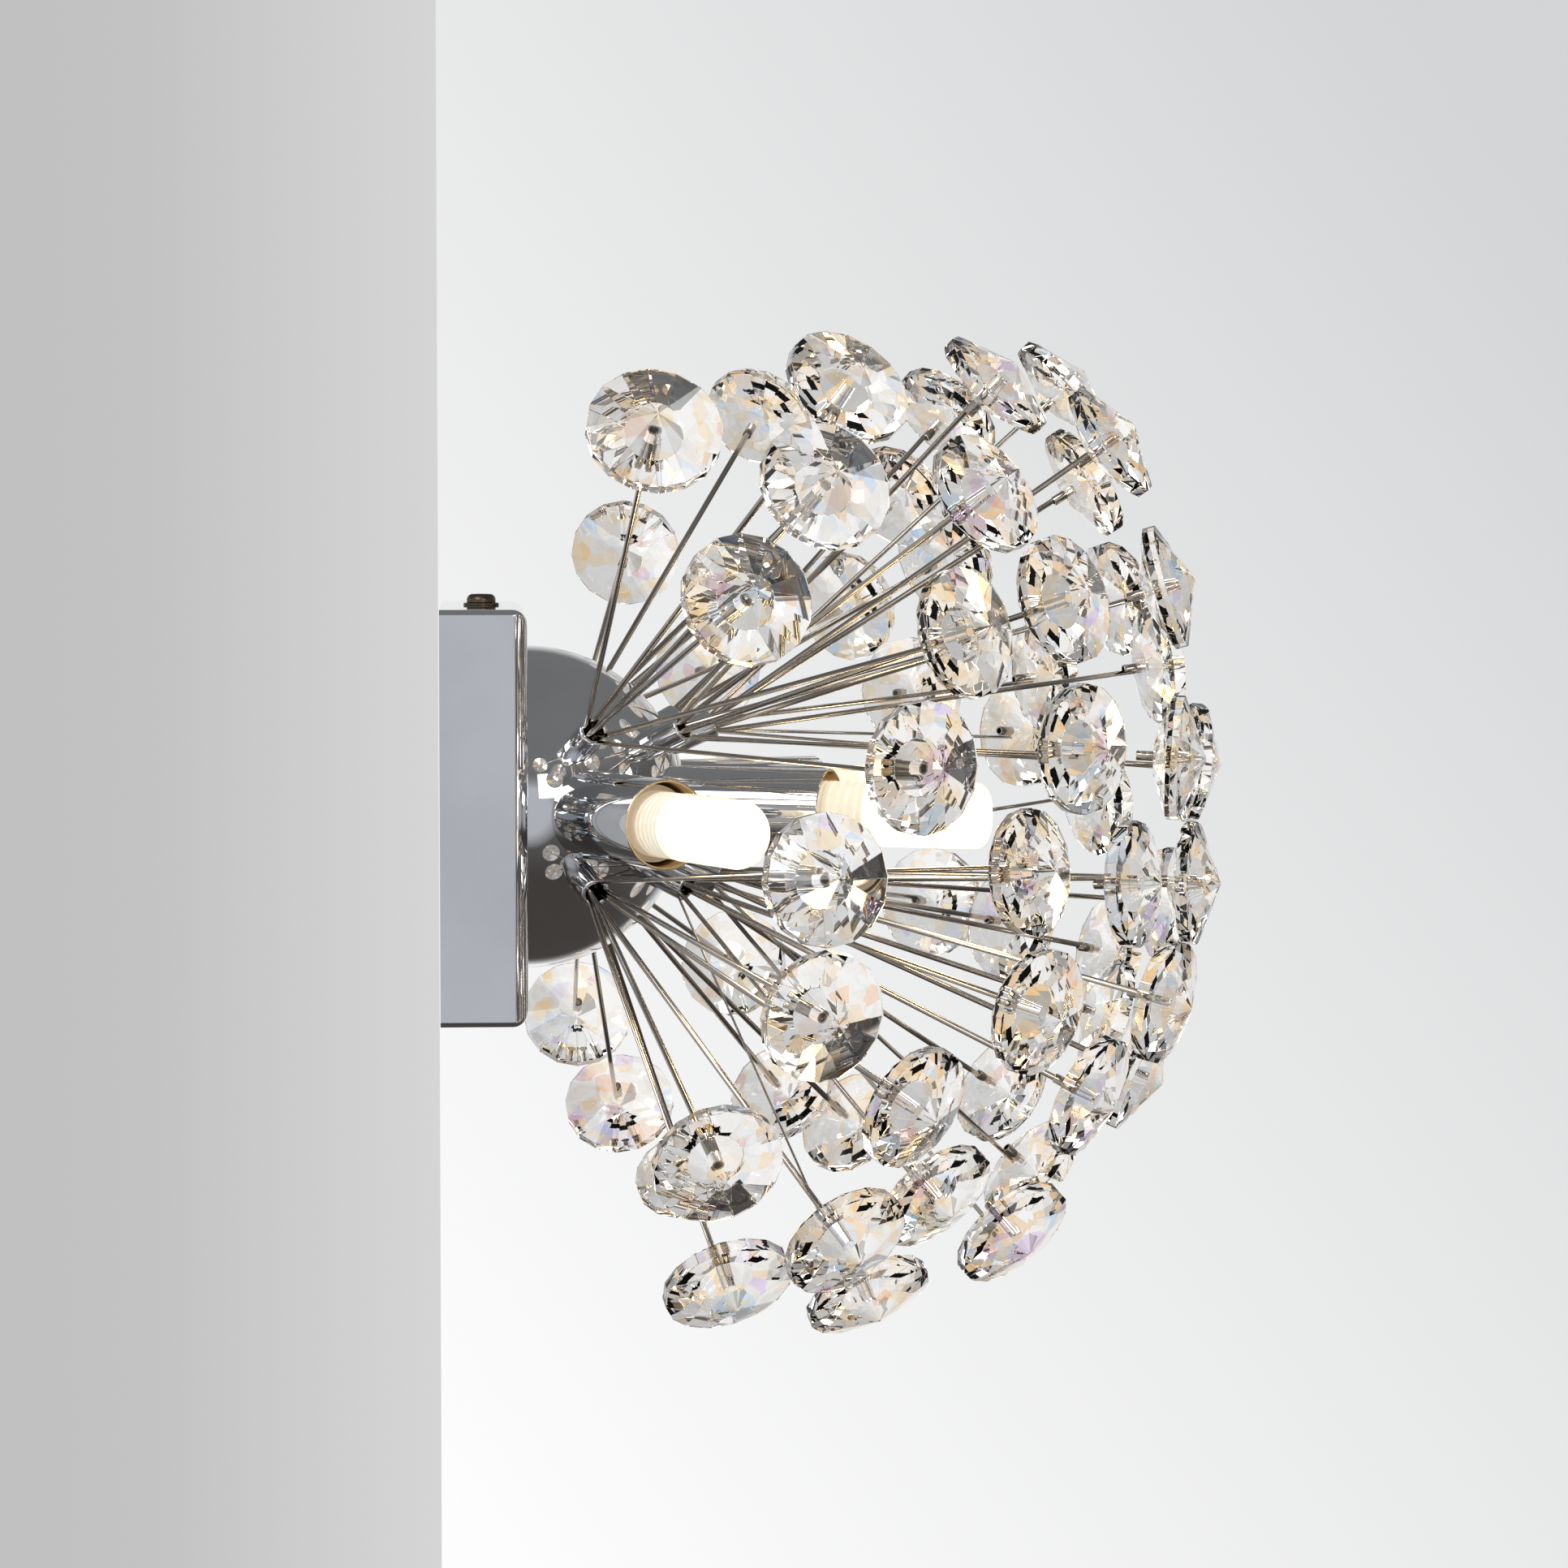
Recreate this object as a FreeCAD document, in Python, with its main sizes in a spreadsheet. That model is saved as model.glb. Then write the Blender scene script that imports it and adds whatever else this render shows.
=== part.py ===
import FreeCAD, Part

import math
import os

import Sketcher

# Crystal wall sconce, in millimetres.
# The origin is the centre of the canopy's back, on the wall.
# +X points out of the wall, +Y sideways and +Z up.

Vector = FreeCAD.Vector
Placement = FreeCAD.Placement
Rotation = FreeCAD.Rotation

document = FreeCAD.newDocument("crystal_wall_sconce")

# ---------------------------------------------------------------- driving sizes

SIZES = [
    ("box_side", 100.0, "side of the square canopy"),
    ("box_depth", 21.0, "how far the canopy stands off the wall"),
    ("box_wall", 1.2, "sheet of the canopy"),
    ("box_edge_radius", 2.0, "outer bend of the canopy's edges"),
    ("lead_hole_radius", 6.2, "hole in the canopy's front for the lead bush"),
    ("canopy_screw_reach", 10.0, "canopy screws' distance from the wall"),
    ("bracket_width", 24.0, "flat bar behind the canopy"),
    ("bracket_sheet", 2.0, "its thickness"),
    ("bracket_ear_depth", 17.0, "how far its ears stand off the wall"),
    ("ear_gap", 0.2, "gap between an ear and the canopy"),
    ("cable_hole_radius", 7.0, "supply cable's hole in the bar"),
    ("wall_slot_width", 5.0, "slots for the wall screws"),
    ("wall_slot_length", 10.0, "their end to end length"),
    ("wall_slot_spacing", 74.0, "between the slots' centres"),
    ("screw_clearance", 0.2, "round a screw in a plain hole"),
    ("thread_clearance", 0.03, "round a screw in its tapped hole"),
    ("canopy_screw_radius", 2.0, "screws that hold the canopy"),
    ("canopy_screw_length", 7.0, "under their heads"),
    ("canopy_head_radius", 3.6, "pan head of those screws"),
    ("canopy_head_height", 2.2, "height of that head"),
    ("head_edge_share", 0.45, "upright part of a pan head, as a share of its height"),
    ("head_top_share", 0.6, "flat top of a pan head, as a share of its radius"),
    ("head_slot_share", 0.28, "width of a screw's slot, as a share of its head's radius"),
    ("drill_run", 5.0, "how far a drill runs past the sheet that it cuts"),
    ("canopy_washer_radius", 4.4, "washer under each canopy screw"),
    ("canopy_washer_sheet", 0.6, "its thickness"),
    ("small_screw_radius", 1.5, "screws of the dome and the terminal block"),
    ("small_screw_length", 6.6, "under their heads"),
    ("small_head_radius", 2.8, "pan head of those screws"),
    ("small_head_height", 1.8, "height of that head"),
    ("dome_radius", 40.0, "outside of the half ball"),
    ("dome_wall", 1.2, "its sheet"),
    ("dome_lug_radius", 3.0, "soldered lugs inside the rim"),
    ("dome_lug_height", 6.0, "their height"),
    ("dome_lug_inset", 2.6, "from the dome's inside to a lug's middle"),
    ("lamp_pitch", 44.0, "degrees between neighbouring lamps"),
    ("sleeve_radius", 10.8, "outside of a lamp sleeve"),
    ("sleeve_root", 2.7, "its rear end before it is coped, inside the dome's skin"),
    ("sleeve_wall", 0.7, "its sheet"),
    ("sleeve_length", 39.5, "from the dome's skin to its mouth"),
    ("sleeve_floor_gap", 1.5, "from the dome's skin to the inner face of its bottom"),
    ("sleeve_lip", 0.3, "bevel on the mouth's outer edge"),
    ("nipple_radius", 5.0, "threaded tube that holds a lamp sleeve"),
    ("nipple_bore", 3.5, "radius of its bore"),
    ("nipple_inside", 6.5, "its inner end, inside the dome's skin"),
    ("nipple_outside", 9.5, "its outer end, outside the dome's skin"),
    ("nipple_nut_flats", 13.0, "across the flats of its nuts"),
    ("nipple_nut_height", 2.4, "height of those nuts"),
    ("socket_radius", 9.2, "ceramic lamp socket"),
    ("socket_gap", 6.0, "from the dome's skin to its back"),
    ("socket_length", 26.5, "from its back to its front face"),
    ("socket_chamber_radius", 6.6, "wiring chamber inside it"),
    ("socket_chamber_length", 11.0, "from the socket's back to the front wall of that chamber"),
    ("pin_spacing", 9.0, "between a bulb's two pins"),
    ("pin_length", 12.6, "out of the bulb's base"),
    ("pin_width", 2.6, "flat wire loop"),
    ("pin_sheet", 0.9, "its thickness"),
    ("pin_play", 0.4, "round a pin in its slot"),
    ("contact_sheet", 0.5, "brass contact strip"),
    ("contact_width", 2.4, "its width"),
    ("contact_tail", 1.4, "how far it reaches into the wiring chamber"),
    ("contact_length", 16.0, "its length"),
    ("bulb_gap", 0.3, "between a bulb's base and its socket"),
    ("bulb_radius", 8.0, "clear cover of a bulb"),
    ("bulb_cover_wall", 0.8, "its wall"),
    ("bulb_cover_round", 2.4, "rounded end of the cover"),
    ("bulb_base_radius", 7.8, "cream base of a bulb"),
    ("bulb_base_length", 17.2, "from the base's foot to the cover"),
    ("bulb_collar", 3.0, "the base's collar inside the cover"),
    ("bulb_cover_length", 29.0, "of the clear cover"),
    ("bulb_core_radius", 4.8, "post that carries the light chips"),
    ("bulb_core_gap", 3.0, "between that post and the cover's end"),
    ("holder_radius", 3.6, "wire holders on the dome"),
    ("holder_bore", 2.5, "radius of their bore"),
    ("holder_root", 0.9, "their rear end before it is coped, inside the dome's skin"),
    ("holder_length", 11.0, "from the dome's skin to their open end"),
    ("holder_depth", 9.6, "depth of the bore"),
    ("holder_lip", 0.35, "bevel on the open end"),
    ("holder_stud_radius", 2.0, "stud through the dome"),
    ("holder_stud_inside", 5.8, "its inner end, inside the dome's skin"),
    ("holder_stud_outside", 0.4, "its outer end, inside the holder"),
    ("holder_pitch", 35.0, "degrees between neighbouring holders"),
    ("upper_row_rise", 24.0, "degrees that the upper row points up"),
    ("lower_row_drop", 21.0, "degrees that the lower row points down"),
    ("stud_nut_flats", 7.0, "across the flats of the studs' nuts"),
    ("stud_nut_height", 2.2, "their height"),
    ("wire_radius", 0.75, "crystal wires"),
    ("wire_circle", 1.7, "circle on which they sit in a holder"),
    ("wire_bend", 4.0, "radius of their bend at the holder's mouth"),
    ("crystal_radius", 15.0, "faceted disc"),
    ("crystal_girdle", 1.5, "half the height of its edge"),
    ("crystal_table_radius", 5.2, "flat on its back"),
    ("crystal_back", 5.1, "height of the back over the disc's middle"),
    ("crystal_front", 7.4, "height of the point"),
    ("crystal_facets", 16, "facets round the disc"),
    ("crystal_pin_radius", 1.2, "metal sleeve that joins wire and crystal"),
    ("crystal_pin_length", 8.8, "its length"),
    ("crystal_pin_clearance", 0.03, "round the sleeve and round the wire"),
    ("crystal_pin_end", 0.75, "sleeve's end behind the disc's middle"),
    ("bush_flange", 1.3, "how far the bush's rim covers the hole's edge"),
    ("bush_flange_sheet", 0.9, "thickness of that rim"),
    ("bush_wall", 1.3, "wall of the bush"),
    ("block_width", 28.0, "terminal block"),
    ("block_height", 15.0, "its size along the wall, up and down"),
    ("block_depth", 11.0, "how far it stands off the bar"),
    ("block_drop", 21.5, "its middle below the canopy's centre"),
    ("block_screw_seat", 7.0, "its fixing screw's head, from the wall"),
    ("clamp_length", 12.0, "brass clamps inside the block"),
    ("clamp_width", 8.6, "their width"),
    ("clamp_depth", 5.0, "their depth"),
    ("clamp_wall", 0.9, "their wall"),
    ("clamp_spacing", 15.5, "between the two clamps"),
    ("clamp_screw_radius", 1.25, "clamp screws"),
    ("clamp_screw_head", 1.9, "radius of their heads"),
    ("clamp_head_height", 1.4, "height of their heads"),
    ("clamp_screw_grip", 3.4, "length of their threads"),
    ("lead_radius", 0.65, "insulated lamp leads"),
    ("lead_gap", 2.1, "between leads side by side in the bush"),
    ("lead_rise", 1.2, "leads above and below the lamps' plane"),
    ("lead_clamp_gap", 1.9, "between leads side by side at a clamp"),
    ("lead_tail_gap", 0.7, "between their ends and the contacts"),
    ("lead_tube_outer_gap", 1.2, "where they enter a lamp's threaded tube, inside its end"),
    ("lead_tube_inner_gap", 2.1, "where they turn inside the dome, past the tube's end"),
    ("lead_gather", 30.0, "where they come side by side, from the wall"),
    ("lead_drop_near", 5.0, "where the upper leads turn down, from the wall"),
    ("lead_drop_far", 10.0, "where the lower leads turn down"),
    ("lead_clamp_run", 4.2, "their straight run above the terminal block"),
    ("lead_bend_share", 0.45, "share of a run that its bend takes up"),
    ("earth_edge_gap", 30.0, "earth screw below the canopy's upper edge"),
    ("earth_collar_radius", 3.6, "drawn collar of the bar, tapped for the earth screw"),
    ("earth_collar_height", 3.0, "how far it stands off the bar"),
    ("earth_screw_radius", 2.0, "earth screw"),
    ("earth_screw_length", 5.5, "under its head"),
    ("earth_head_radius", 3.6, "its pan head"),
    ("earth_head_height", 2.2, "height of that head"),
    ("earth_ring_radius", 4.0, "ring terminal under the earth screw"),
    ("earth_ring_sheet", 0.8, "its thickness"),
    ("earth_tongue_length", 4.5, "from the ring's edge to its crimp barrel"),
    ("earth_tongue_width", 3.0, "width of that tongue"),
    ("earth_barrel_radius", 1.5, "crimp barrel of the ring terminal"),
    ("earth_barrel_wall", 0.45, "its sheet"),
    ("earth_barrel_length", 7.0, "its length"),
]

# Sizes that follow from others; distances along a lamp or a holder start at the dome's centre.
FOLLOWING = [
    ("dome_lug_reach", "dome_radius - dome_wall - dome_lug_inset", "lugs' distance from the dome's axis"),
    ("sleeve_start", "dome_radius - sleeve_root", "rear end of a sleeve before it is coped"),
    ("sleeve_reach", "dome_radius + sleeve_length", "a sleeve's mouth"),
    ("sleeve_floor", "dome_radius + sleeve_floor_gap", "inner face of its bottom"),
    ("nipple_start", "dome_radius - nipple_inside", "inner end of a threaded tube"),
    ("nipple_end", "dome_radius + nipple_outside", "its outer end"),
    ("socket_start", "dome_radius + socket_gap", "a socket's back"),
    ("socket_face", "socket_start + socket_length", "its front face"),
    ("socket_chamber_end", "socket_start + socket_chamber_length", "front wall of its wiring chamber"),
    ("contact_start", "socket_chamber_end - contact_tail", "a contact's tail"),
    ("bulb_base_end", "socket_face + bulb_gap + bulb_base_length", "where a bulb's cover starts"),
    ("bulb_tip", "bulb_base_end + bulb_cover_length", "end of a bulb"),
    ("holder_start", "dome_radius - holder_root", "rear end of a holder before it is coped"),
    ("holder_reach", "dome_radius + holder_length", "a holder's open end"),
    ("holder_stud_start", "dome_radius - holder_stud_inside", "inner end of its stud"),
    ("holder_stud_end", "dome_radius + holder_stud_outside", "outer end of its stud"),
    ("lead_tail", "contact_start - lead_tail_gap", "where the leads end in a socket"),
    ("lead_tube_outer", "nipple_end - lead_tube_outer_gap", "where they enter a threaded tube"),
    ("lead_tube_inner", "nipple_start - lead_tube_inner_gap", "where they turn inside the dome"),
    ("earth_rise", "box_side / 2 - earth_edge_gap", "earth screw above the canopy's centre"),
]

sheet = document.addObject("Spreadsheet::Sheet", "sizes")
cells = [(alias, str(number), meaning) for alias, number, meaning in SIZES]
cells += [(alias, "=" + sum_of, meaning) for alias, sum_of, meaning in FOLLOWING]
for row, (alias, content, meaning) in enumerate(cells, start=1):
    sheet.set("A%d" % row, meaning)
    sheet.set("B%d" % row, content)
    sheet.setAlias("B%d" % row, alias)
document.recompute()


def size(alias):
    return float(sheet.get(alias))


# ---------------------------------------------------------------- design choices

LAMP_SEATS = (1.5, 0.5, -0.5, -1.5)
HOLDER_SEATS = (2, 1, 0, -1, -2)
LUG_TURNS = (90, 210, 330)

# Where each holder's six wires lead: the way a wire points once it has left its bend,
# as degrees towards -Y and degrees up, and its straight length to the crystal's middle.
# The order goes round the holder's mouth, starting at its upper side.
WIRE_AIMS = {
    "upper_1": [(57, 38, 128), (84, 31, 135), (72, 18, 111),
                (56, -1, 124), (45, 13, 116), (68, 25, 137)],
    "upper_2": [(26, 45, 114), (46, 30, 112), (44, 16, 121),
                (44, 0, 120), (12, -3, 118), (13, 16, 121)],
    "upper_3": [(-9, 42, 121), (22, 34, 122), (-5, -5, 121),
                (-14, 7, 118), (-27, 14, 123), (-13, 31, 114)],
    "upper_4": [(-48, 30, 108), (-37, 40, 119), (-24, 5, 107),
                (-41, -3, 128), (-58, 1, 131), (-46, 19, 117)],
    "upper_5": [(-63, 35, 133), (-38, 36, 99), (-51, 13, 117),
                (-60, 20, 86), (-72, 4, 121), (-82, 21, 110)],
    "lower_1": [(66, 5, 117), (75, -28, 113), (69, -45, 115),
                (56, -36, 120), (46, -23, 108), (64, -11, 108)],
    "lower_2": [(40, 4, 99), (45, -12, 112), (49, -38, 107),
                (57, -51, 114), (33, -22, 117), (28, 2, 114)],
    "lower_3": [(18, 0, 118), (31, -12, 122), (16, -23, 114),
                (48, -38, 124), (-23, -41, 118), (-16, -5, 122)],
    "lower_4": [(-26, 6, 126), (-22, -12, 126), (-9, -19, 118),
                (-34, -30, 124), (-56, -7, 135), (-40, -10, 124)],
    "lower_5": [(-68, -18, 119), (-56, -36, 117), (-46, -36, 128),
                (-67, -50, 114), (-83, -37, 120), (-90, -26, 113)],
}

ALONG_X = Rotation(Vector(0, 1, 0), 90)
UP = Vector(0, 0, 1)
nodes = []

# ---------------------------------------------------------------- ways to build


def keep(shape_object, label, placement=None):
    """Names a finished sub-part and puts it in its place."""
    shape_object.Label = label
    if placement is not None:
        shape_object.Placement = placement
    nodes.append(shape_object)
    return shape_object


def bind(shape_object, **expressions):
    for property_name, expression in expressions.items():
        shape_object.setExpression(property_name.replace("__", "."), expression)
    return shape_object


def rod(name, radius, start, length, across="0", up="0"):
    """Cylinder along +X, from start, with its axis at across (Y) and up (Z)."""
    cylinder = document.addObject("Part::Cylinder", name)
    cylinder.Placement = Placement(Vector(), ALONG_X)
    return bind(cylinder, Radius=radius, Height=length, Placement__Base__x=start,
                Placement__Base__y=across, Placement__Base__z=up)


def post(name, radius, bottom, height, out="0", across="0"):
    """Cylinder along +Z, from bottom, with its axis at out (X) and across (Y)."""
    cylinder = document.addObject("Part::Cylinder", name)
    return bind(cylinder, Radius=radius, Height=height, Placement__Base__x=out,
                Placement__Base__y=across, Placement__Base__z=bottom)


def block(name, start, length, width, height, across="0", up="0"):
    """Box along +X from start, its middle at across (Y) and up (Z)."""
    box = document.addObject("Part::Box", name)
    return bind(box, Length=length, Width=width, Height=height, Placement__Base__x=start,
                Placement__Base__y="%s - (%s) / 2" % (across, width),
                Placement__Base__z="%s - (%s) / 2" % (up, height))


def ball(name, radius, centre="0"):
    sphere = document.addObject("Part::Sphere", name)
    return bind(sphere, Radius=radius, Placement__Base__x=centre)


def joined(name, *pieces):
    fuse = document.addObject("Part::MultiFuse", name)
    fuse.Shapes = list(pieces)
    return fuse


def cut(name, base, *tools):
    tool = tools[0] if len(tools) == 1 else joined(name + "_tools", *tools)
    result = document.addObject("Part::Cut", name)
    result.Base = base
    result.Tool = tool
    return result


def group(name, pieces):
    compound = document.addObject("Part::Compound", name)
    compound.Links = list(pieces)
    return compound


def hexagon(name, flats, start, height):
    """Hexagonal prism along +X."""
    prism = document.addObject("Part::Prism", name)
    prism.Polygon = 6
    prism.Placement = Placement(Vector(), ALONG_X)
    return bind(prism, Circumradius="(%s) / sqrt(3)" % flats, Height=height, Placement__Base__x=start)


def origin_plane(body, role):
    return next(item for item in body.Origin.OriginFeatures if item.Role == role)


def outlined(body, name, role, corners):
    """Closed sketch through corners, each a pair of expressions held by a dimension."""
    sketch = body.newObject("Sketcher::SketchObject", name)
    sketch.AttachmentSupport = [(origin_plane(body, role), "")]
    sketch.MapMode = "FlatFace"
    places = []
    for first, second in corners:
        flat = Vector(float(sheet.evalExpression(first)), float(sheet.evalExpression(second)), 0)
        places.append(flat)
    count = len(places)
    for index in range(count):
        sketch.addGeometry(Part.LineSegment(places[index], places[(index + 1) % count]))
    for index in range(count):
        sketch.addConstraint(Sketcher.Constraint("Coincident", index, 2, (index + 1) % count, 1))
    for index, (first, second) in enumerate(corners):
        for kind, expression, axis in (("DistanceX", first, -2), ("DistanceY", second, -1)):
            if expression == "0":
                sketch.addConstraint(Sketcher.Constraint("PointOnObject", index, 1, axis))
                continue
            flat = places[index].x if kind == "DistanceX" else places[index].y
            number = sketch.addConstraint(Sketcher.Constraint(kind, -1, 1, index, 1, flat))
            sketch.setExpression("Constraints[%d]" % number, expression)
    return sketch


def turned(name, corners):
    """Body turned round its own X axis from (distance, radius) corners."""
    body = document.addObject("PartDesign::Body", name)
    sketch = outlined(body, name + "_outline", "XY_Plane", corners)
    turn = body.newObject("PartDesign::Revolution", name + "_turn")
    turn.Profile = sketch
    turn.ReferenceAxis = (sketch, ["H_Axis"])
    turn.Angle = 360
    body.Tip = turn
    return body


def aimed(sideways, rise):
    """Unit vector that points sideways degrees towards -Y and rise degrees up."""
    turn = math.radians(sideways)
    lift = math.radians(rise)
    return Vector(math.cos(lift) * math.cos(turn), -math.cos(lift) * math.sin(turn), math.sin(lift))


def facing(direction):
    """Rotation that takes +X to direction and keeps +Z as upright as it can."""
    side = UP.cross(direction)
    side.normalize()
    return Rotation(direction, side, direction.cross(side), "XYZ")


DOME_CENTRE = Vector(size("box_depth"), 0, 0)


def from_dome(direction):
    return Placement(DOME_CENTRE, facing(direction))


LAMP_AIMS = [aimed(seat * size("lamp_pitch"), 0) for seat in LAMP_SEATS]
HOLDERS = {}
for number, seat in enumerate(HOLDER_SEATS, start=1):
    HOLDERS["upper_%d" % number] = aimed(seat * size("holder_pitch"), size("upper_row_rise"))
    HOLDERS["lower_%d" % number] = aimed(seat * size("holder_pitch"), -size("lower_row_drop"))


def pan_screw(name, kind):
    """Pan-head screw along -X, the underside of its head at the origin."""
    shank = rod(name + "_shank", "sizes.%s_screw_radius" % kind, "-sizes.%s_screw_length" % kind,
                "sizes.%s_screw_length" % kind)
    top = "sizes.%s_head_height" % kind
    edge = "sizes.%s_head_radius" % kind
    upright = top + " * sizes.head_edge_share"
    head = turned(name + "_head", [("0", "0"), ("0", edge), (upright, edge),
                                   (top, edge + " * sizes.head_top_share"), (top, "0")])
    slot = block(name + "_slot", upright, top, edge + " * 2", edge + " * sizes.head_slot_share")
    return cut(name, joined(name + "_solid", shank, head), slot)


# ---------------------------------------------------------------- canopy and bracket


def canopy_box():
    body = document.addObject("PartDesign::Body", "canopy_shell")
    half = "sizes.box_side / 2"
    square = [("-" + half, "-" + half), (half, "-" + half), (half, half), ("-" + half, half)]
    outline = outlined(body, "canopy_square", "YZ_Plane", square)
    pad = body.newObject("PartDesign::Pad", "canopy_pad")
    pad.Profile = outline
    bind(pad, Length="sizes.box_depth")
    document.recompute()
    bends = []
    for number, edge in enumerate(pad.Shape.Edges, start=1):
        if edge.BoundBox.XMax > size("box_edge_radius"):
            bends.append("Edge%d" % number)
    fillet = body.newObject("PartDesign::Fillet", "canopy_bends")
    fillet.Base = (pad, bends)
    bind(fillet, Radius="sizes.box_edge_radius")
    inner = "(sizes.box_side / 2 - sizes.box_wall)"
    room = [("-" + inner, "-" + inner), (inner, "-" + inner), (inner, inner), ("-" + inner, inner)]
    hollow = outlined(body, "canopy_inside", "YZ_Plane", room)
    pocket = body.newObject("PartDesign::Pocket", "canopy_hollow")
    pocket.Profile = hollow
    pocket.Reversed = True
    bind(pocket, Length="sizes.box_depth - sizes.box_wall")
    body.Tip = pocket
    document.recompute()
    front = "sizes.box_depth - sizes.drill_run"
    run = "2 * sizes.drill_run"
    lead_hole = rod("canopy_lead_hole", "sizes.lead_hole_radius", front, run)
    holes = [lead_hole]
    for number, spot in enumerate(lug_spots(), start=1):
        hole = rod("canopy_lug_hole_%d" % number, "sizes.small_screw_radius + sizes.screw_clearance",
                   front, run, spot[0], spot[1])
        holes.append(hole)
    holes.append(post("canopy_side_holes", "sizes.canopy_screw_radius + sizes.screw_clearance",
                      "-sizes.box_side", "sizes.box_side * 2", "sizes.canopy_screw_reach"))
    keep(cut("canopy_with_holes", body, *holes), "canopy_box")


def lug_spots():
    """Where the dome's three lugs sit, as expressions across and up."""
    spots = []
    for turn in LUG_TURNS:
        across = "sizes.dome_lug_reach * cos(%d deg)" % turn
        rise = "sizes.dome_lug_reach * sin(%d deg)" % turn
        spots.append((across, rise))
    return spots


def wall_bracket():
    bar_length = "(sizes.box_side - 2 * sizes.box_wall - 2 * sizes.ear_gap)"
    bar = block("bracket_bar", "0", "sizes.bracket_sheet", "sizes.bracket_width", bar_length)
    pieces = [bar, rod("bracket_earth_collar", "sizes.earth_collar_radius", "0",
                       "sizes.bracket_sheet + sizes.earth_collar_height", "0", "sizes.earth_rise")]
    for name, sign in (("top", "1"), ("bottom", "-1")):
        middle = "%s * (%s - sizes.bracket_sheet) / 2" % (sign, bar_length)
        pieces.append(block("bracket_ear_" + name, "0", "sizes.bracket_ear_depth",
                            "sizes.bracket_width", "sizes.bracket_sheet", "0", middle))
    behind = "-sizes.drill_run"
    run = "2 * sizes.drill_run"
    holes = [rod("bracket_cable_hole", "sizes.cable_hole_radius", behind, run)]
    tapped = "sizes.canopy_screw_radius + sizes.thread_clearance"
    holes.append(post("bracket_ear_holes", tapped, "-sizes.box_side", "sizes.box_side * 2",
                      "sizes.canopy_screw_reach"))
    holes.append(rod("bracket_earth_hole", "sizes.earth_screw_radius + sizes.thread_clearance", behind,
                     run + " + sizes.earth_collar_height", "0", "sizes.earth_rise"))
    holes.append(rod("bracket_block_hole", "sizes.small_screw_radius + sizes.thread_clearance",
                     behind, run, "0", "-sizes.block_drop"))
    for name, sign in (("top", "1"), ("bottom", "-1")):
        middle = "%s * sizes.wall_slot_spacing / 2" % sign
        straight = "(sizes.wall_slot_length - sizes.wall_slot_width)"
        holes.append(block("bracket_slot_" + name, behind, run, "sizes.wall_slot_width", straight,
                           "0", middle))
        for end, way in (("upper", "+"), ("lower", "-")):
            holes.append(rod("bracket_slot_%s_%s" % (name, end), "sizes.wall_slot_width / 2", behind,
                             run, "0", "%s %s %s / 2" % (middle, way, straight)))
    keep(cut("bracket_bent_bar", joined("bracket_solid", *pieces), *holes), "wall_bracket")


def canopy_fasteners():
    screws = []
    washers = []
    seat = size("box_side") / 2
    for name, way in (("top", 1), ("bottom", -1)):
        turn = Rotation(Vector(0, 1, 0), -90 * way)
        washer = cut("canopy_washer_" + name,
                     rod("canopy_washer_disc_" + name, "sizes.canopy_washer_radius", "0",
                         "sizes.canopy_washer_sheet"),
                     rod("canopy_washer_hole_" + name, "sizes.canopy_screw_radius + sizes.screw_clearance",
                         "-sizes.drill_run", "2 * sizes.drill_run"))
        washer.Placement = Placement(Vector(size("canopy_screw_reach"), 0, way * seat), turn)
        washers.append(washer)
        screw = pan_screw("canopy_screw_" + name, "canopy")
        under_head = way * (seat + size("canopy_washer_sheet"))
        screw.Placement = Placement(Vector(size("canopy_screw_reach"), 0, under_head), turn)
        screws.append(screw)
    keep(group("canopy_screw_pair", screws), "canopy_screws")
    keep(group("canopy_washer_pair", washers), "canopy_screw_washers")


def lead_bush():
    wall_start = "(sizes.box_depth - sizes.box_wall)"
    hole = "sizes.lead_hole_radius"
    bore = "(%s - sizes.bush_wall)" % hole
    rim = "(%s + sizes.bush_flange)" % hole
    rear = "(%s - sizes.bush_flange_sheet)" % wall_start
    front = "(sizes.box_depth + sizes.bush_flange_sheet)"
    keep(turned("bush", [(rear, bore), (rear, rim), (wall_start, rim), (wall_start, hole),
                         ("sizes.box_depth", hole), ("sizes.box_depth", rim), (front, rim), (front, bore)]),
         "lead_bush")


# ---------------------------------------------------------------- supply parts


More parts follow.
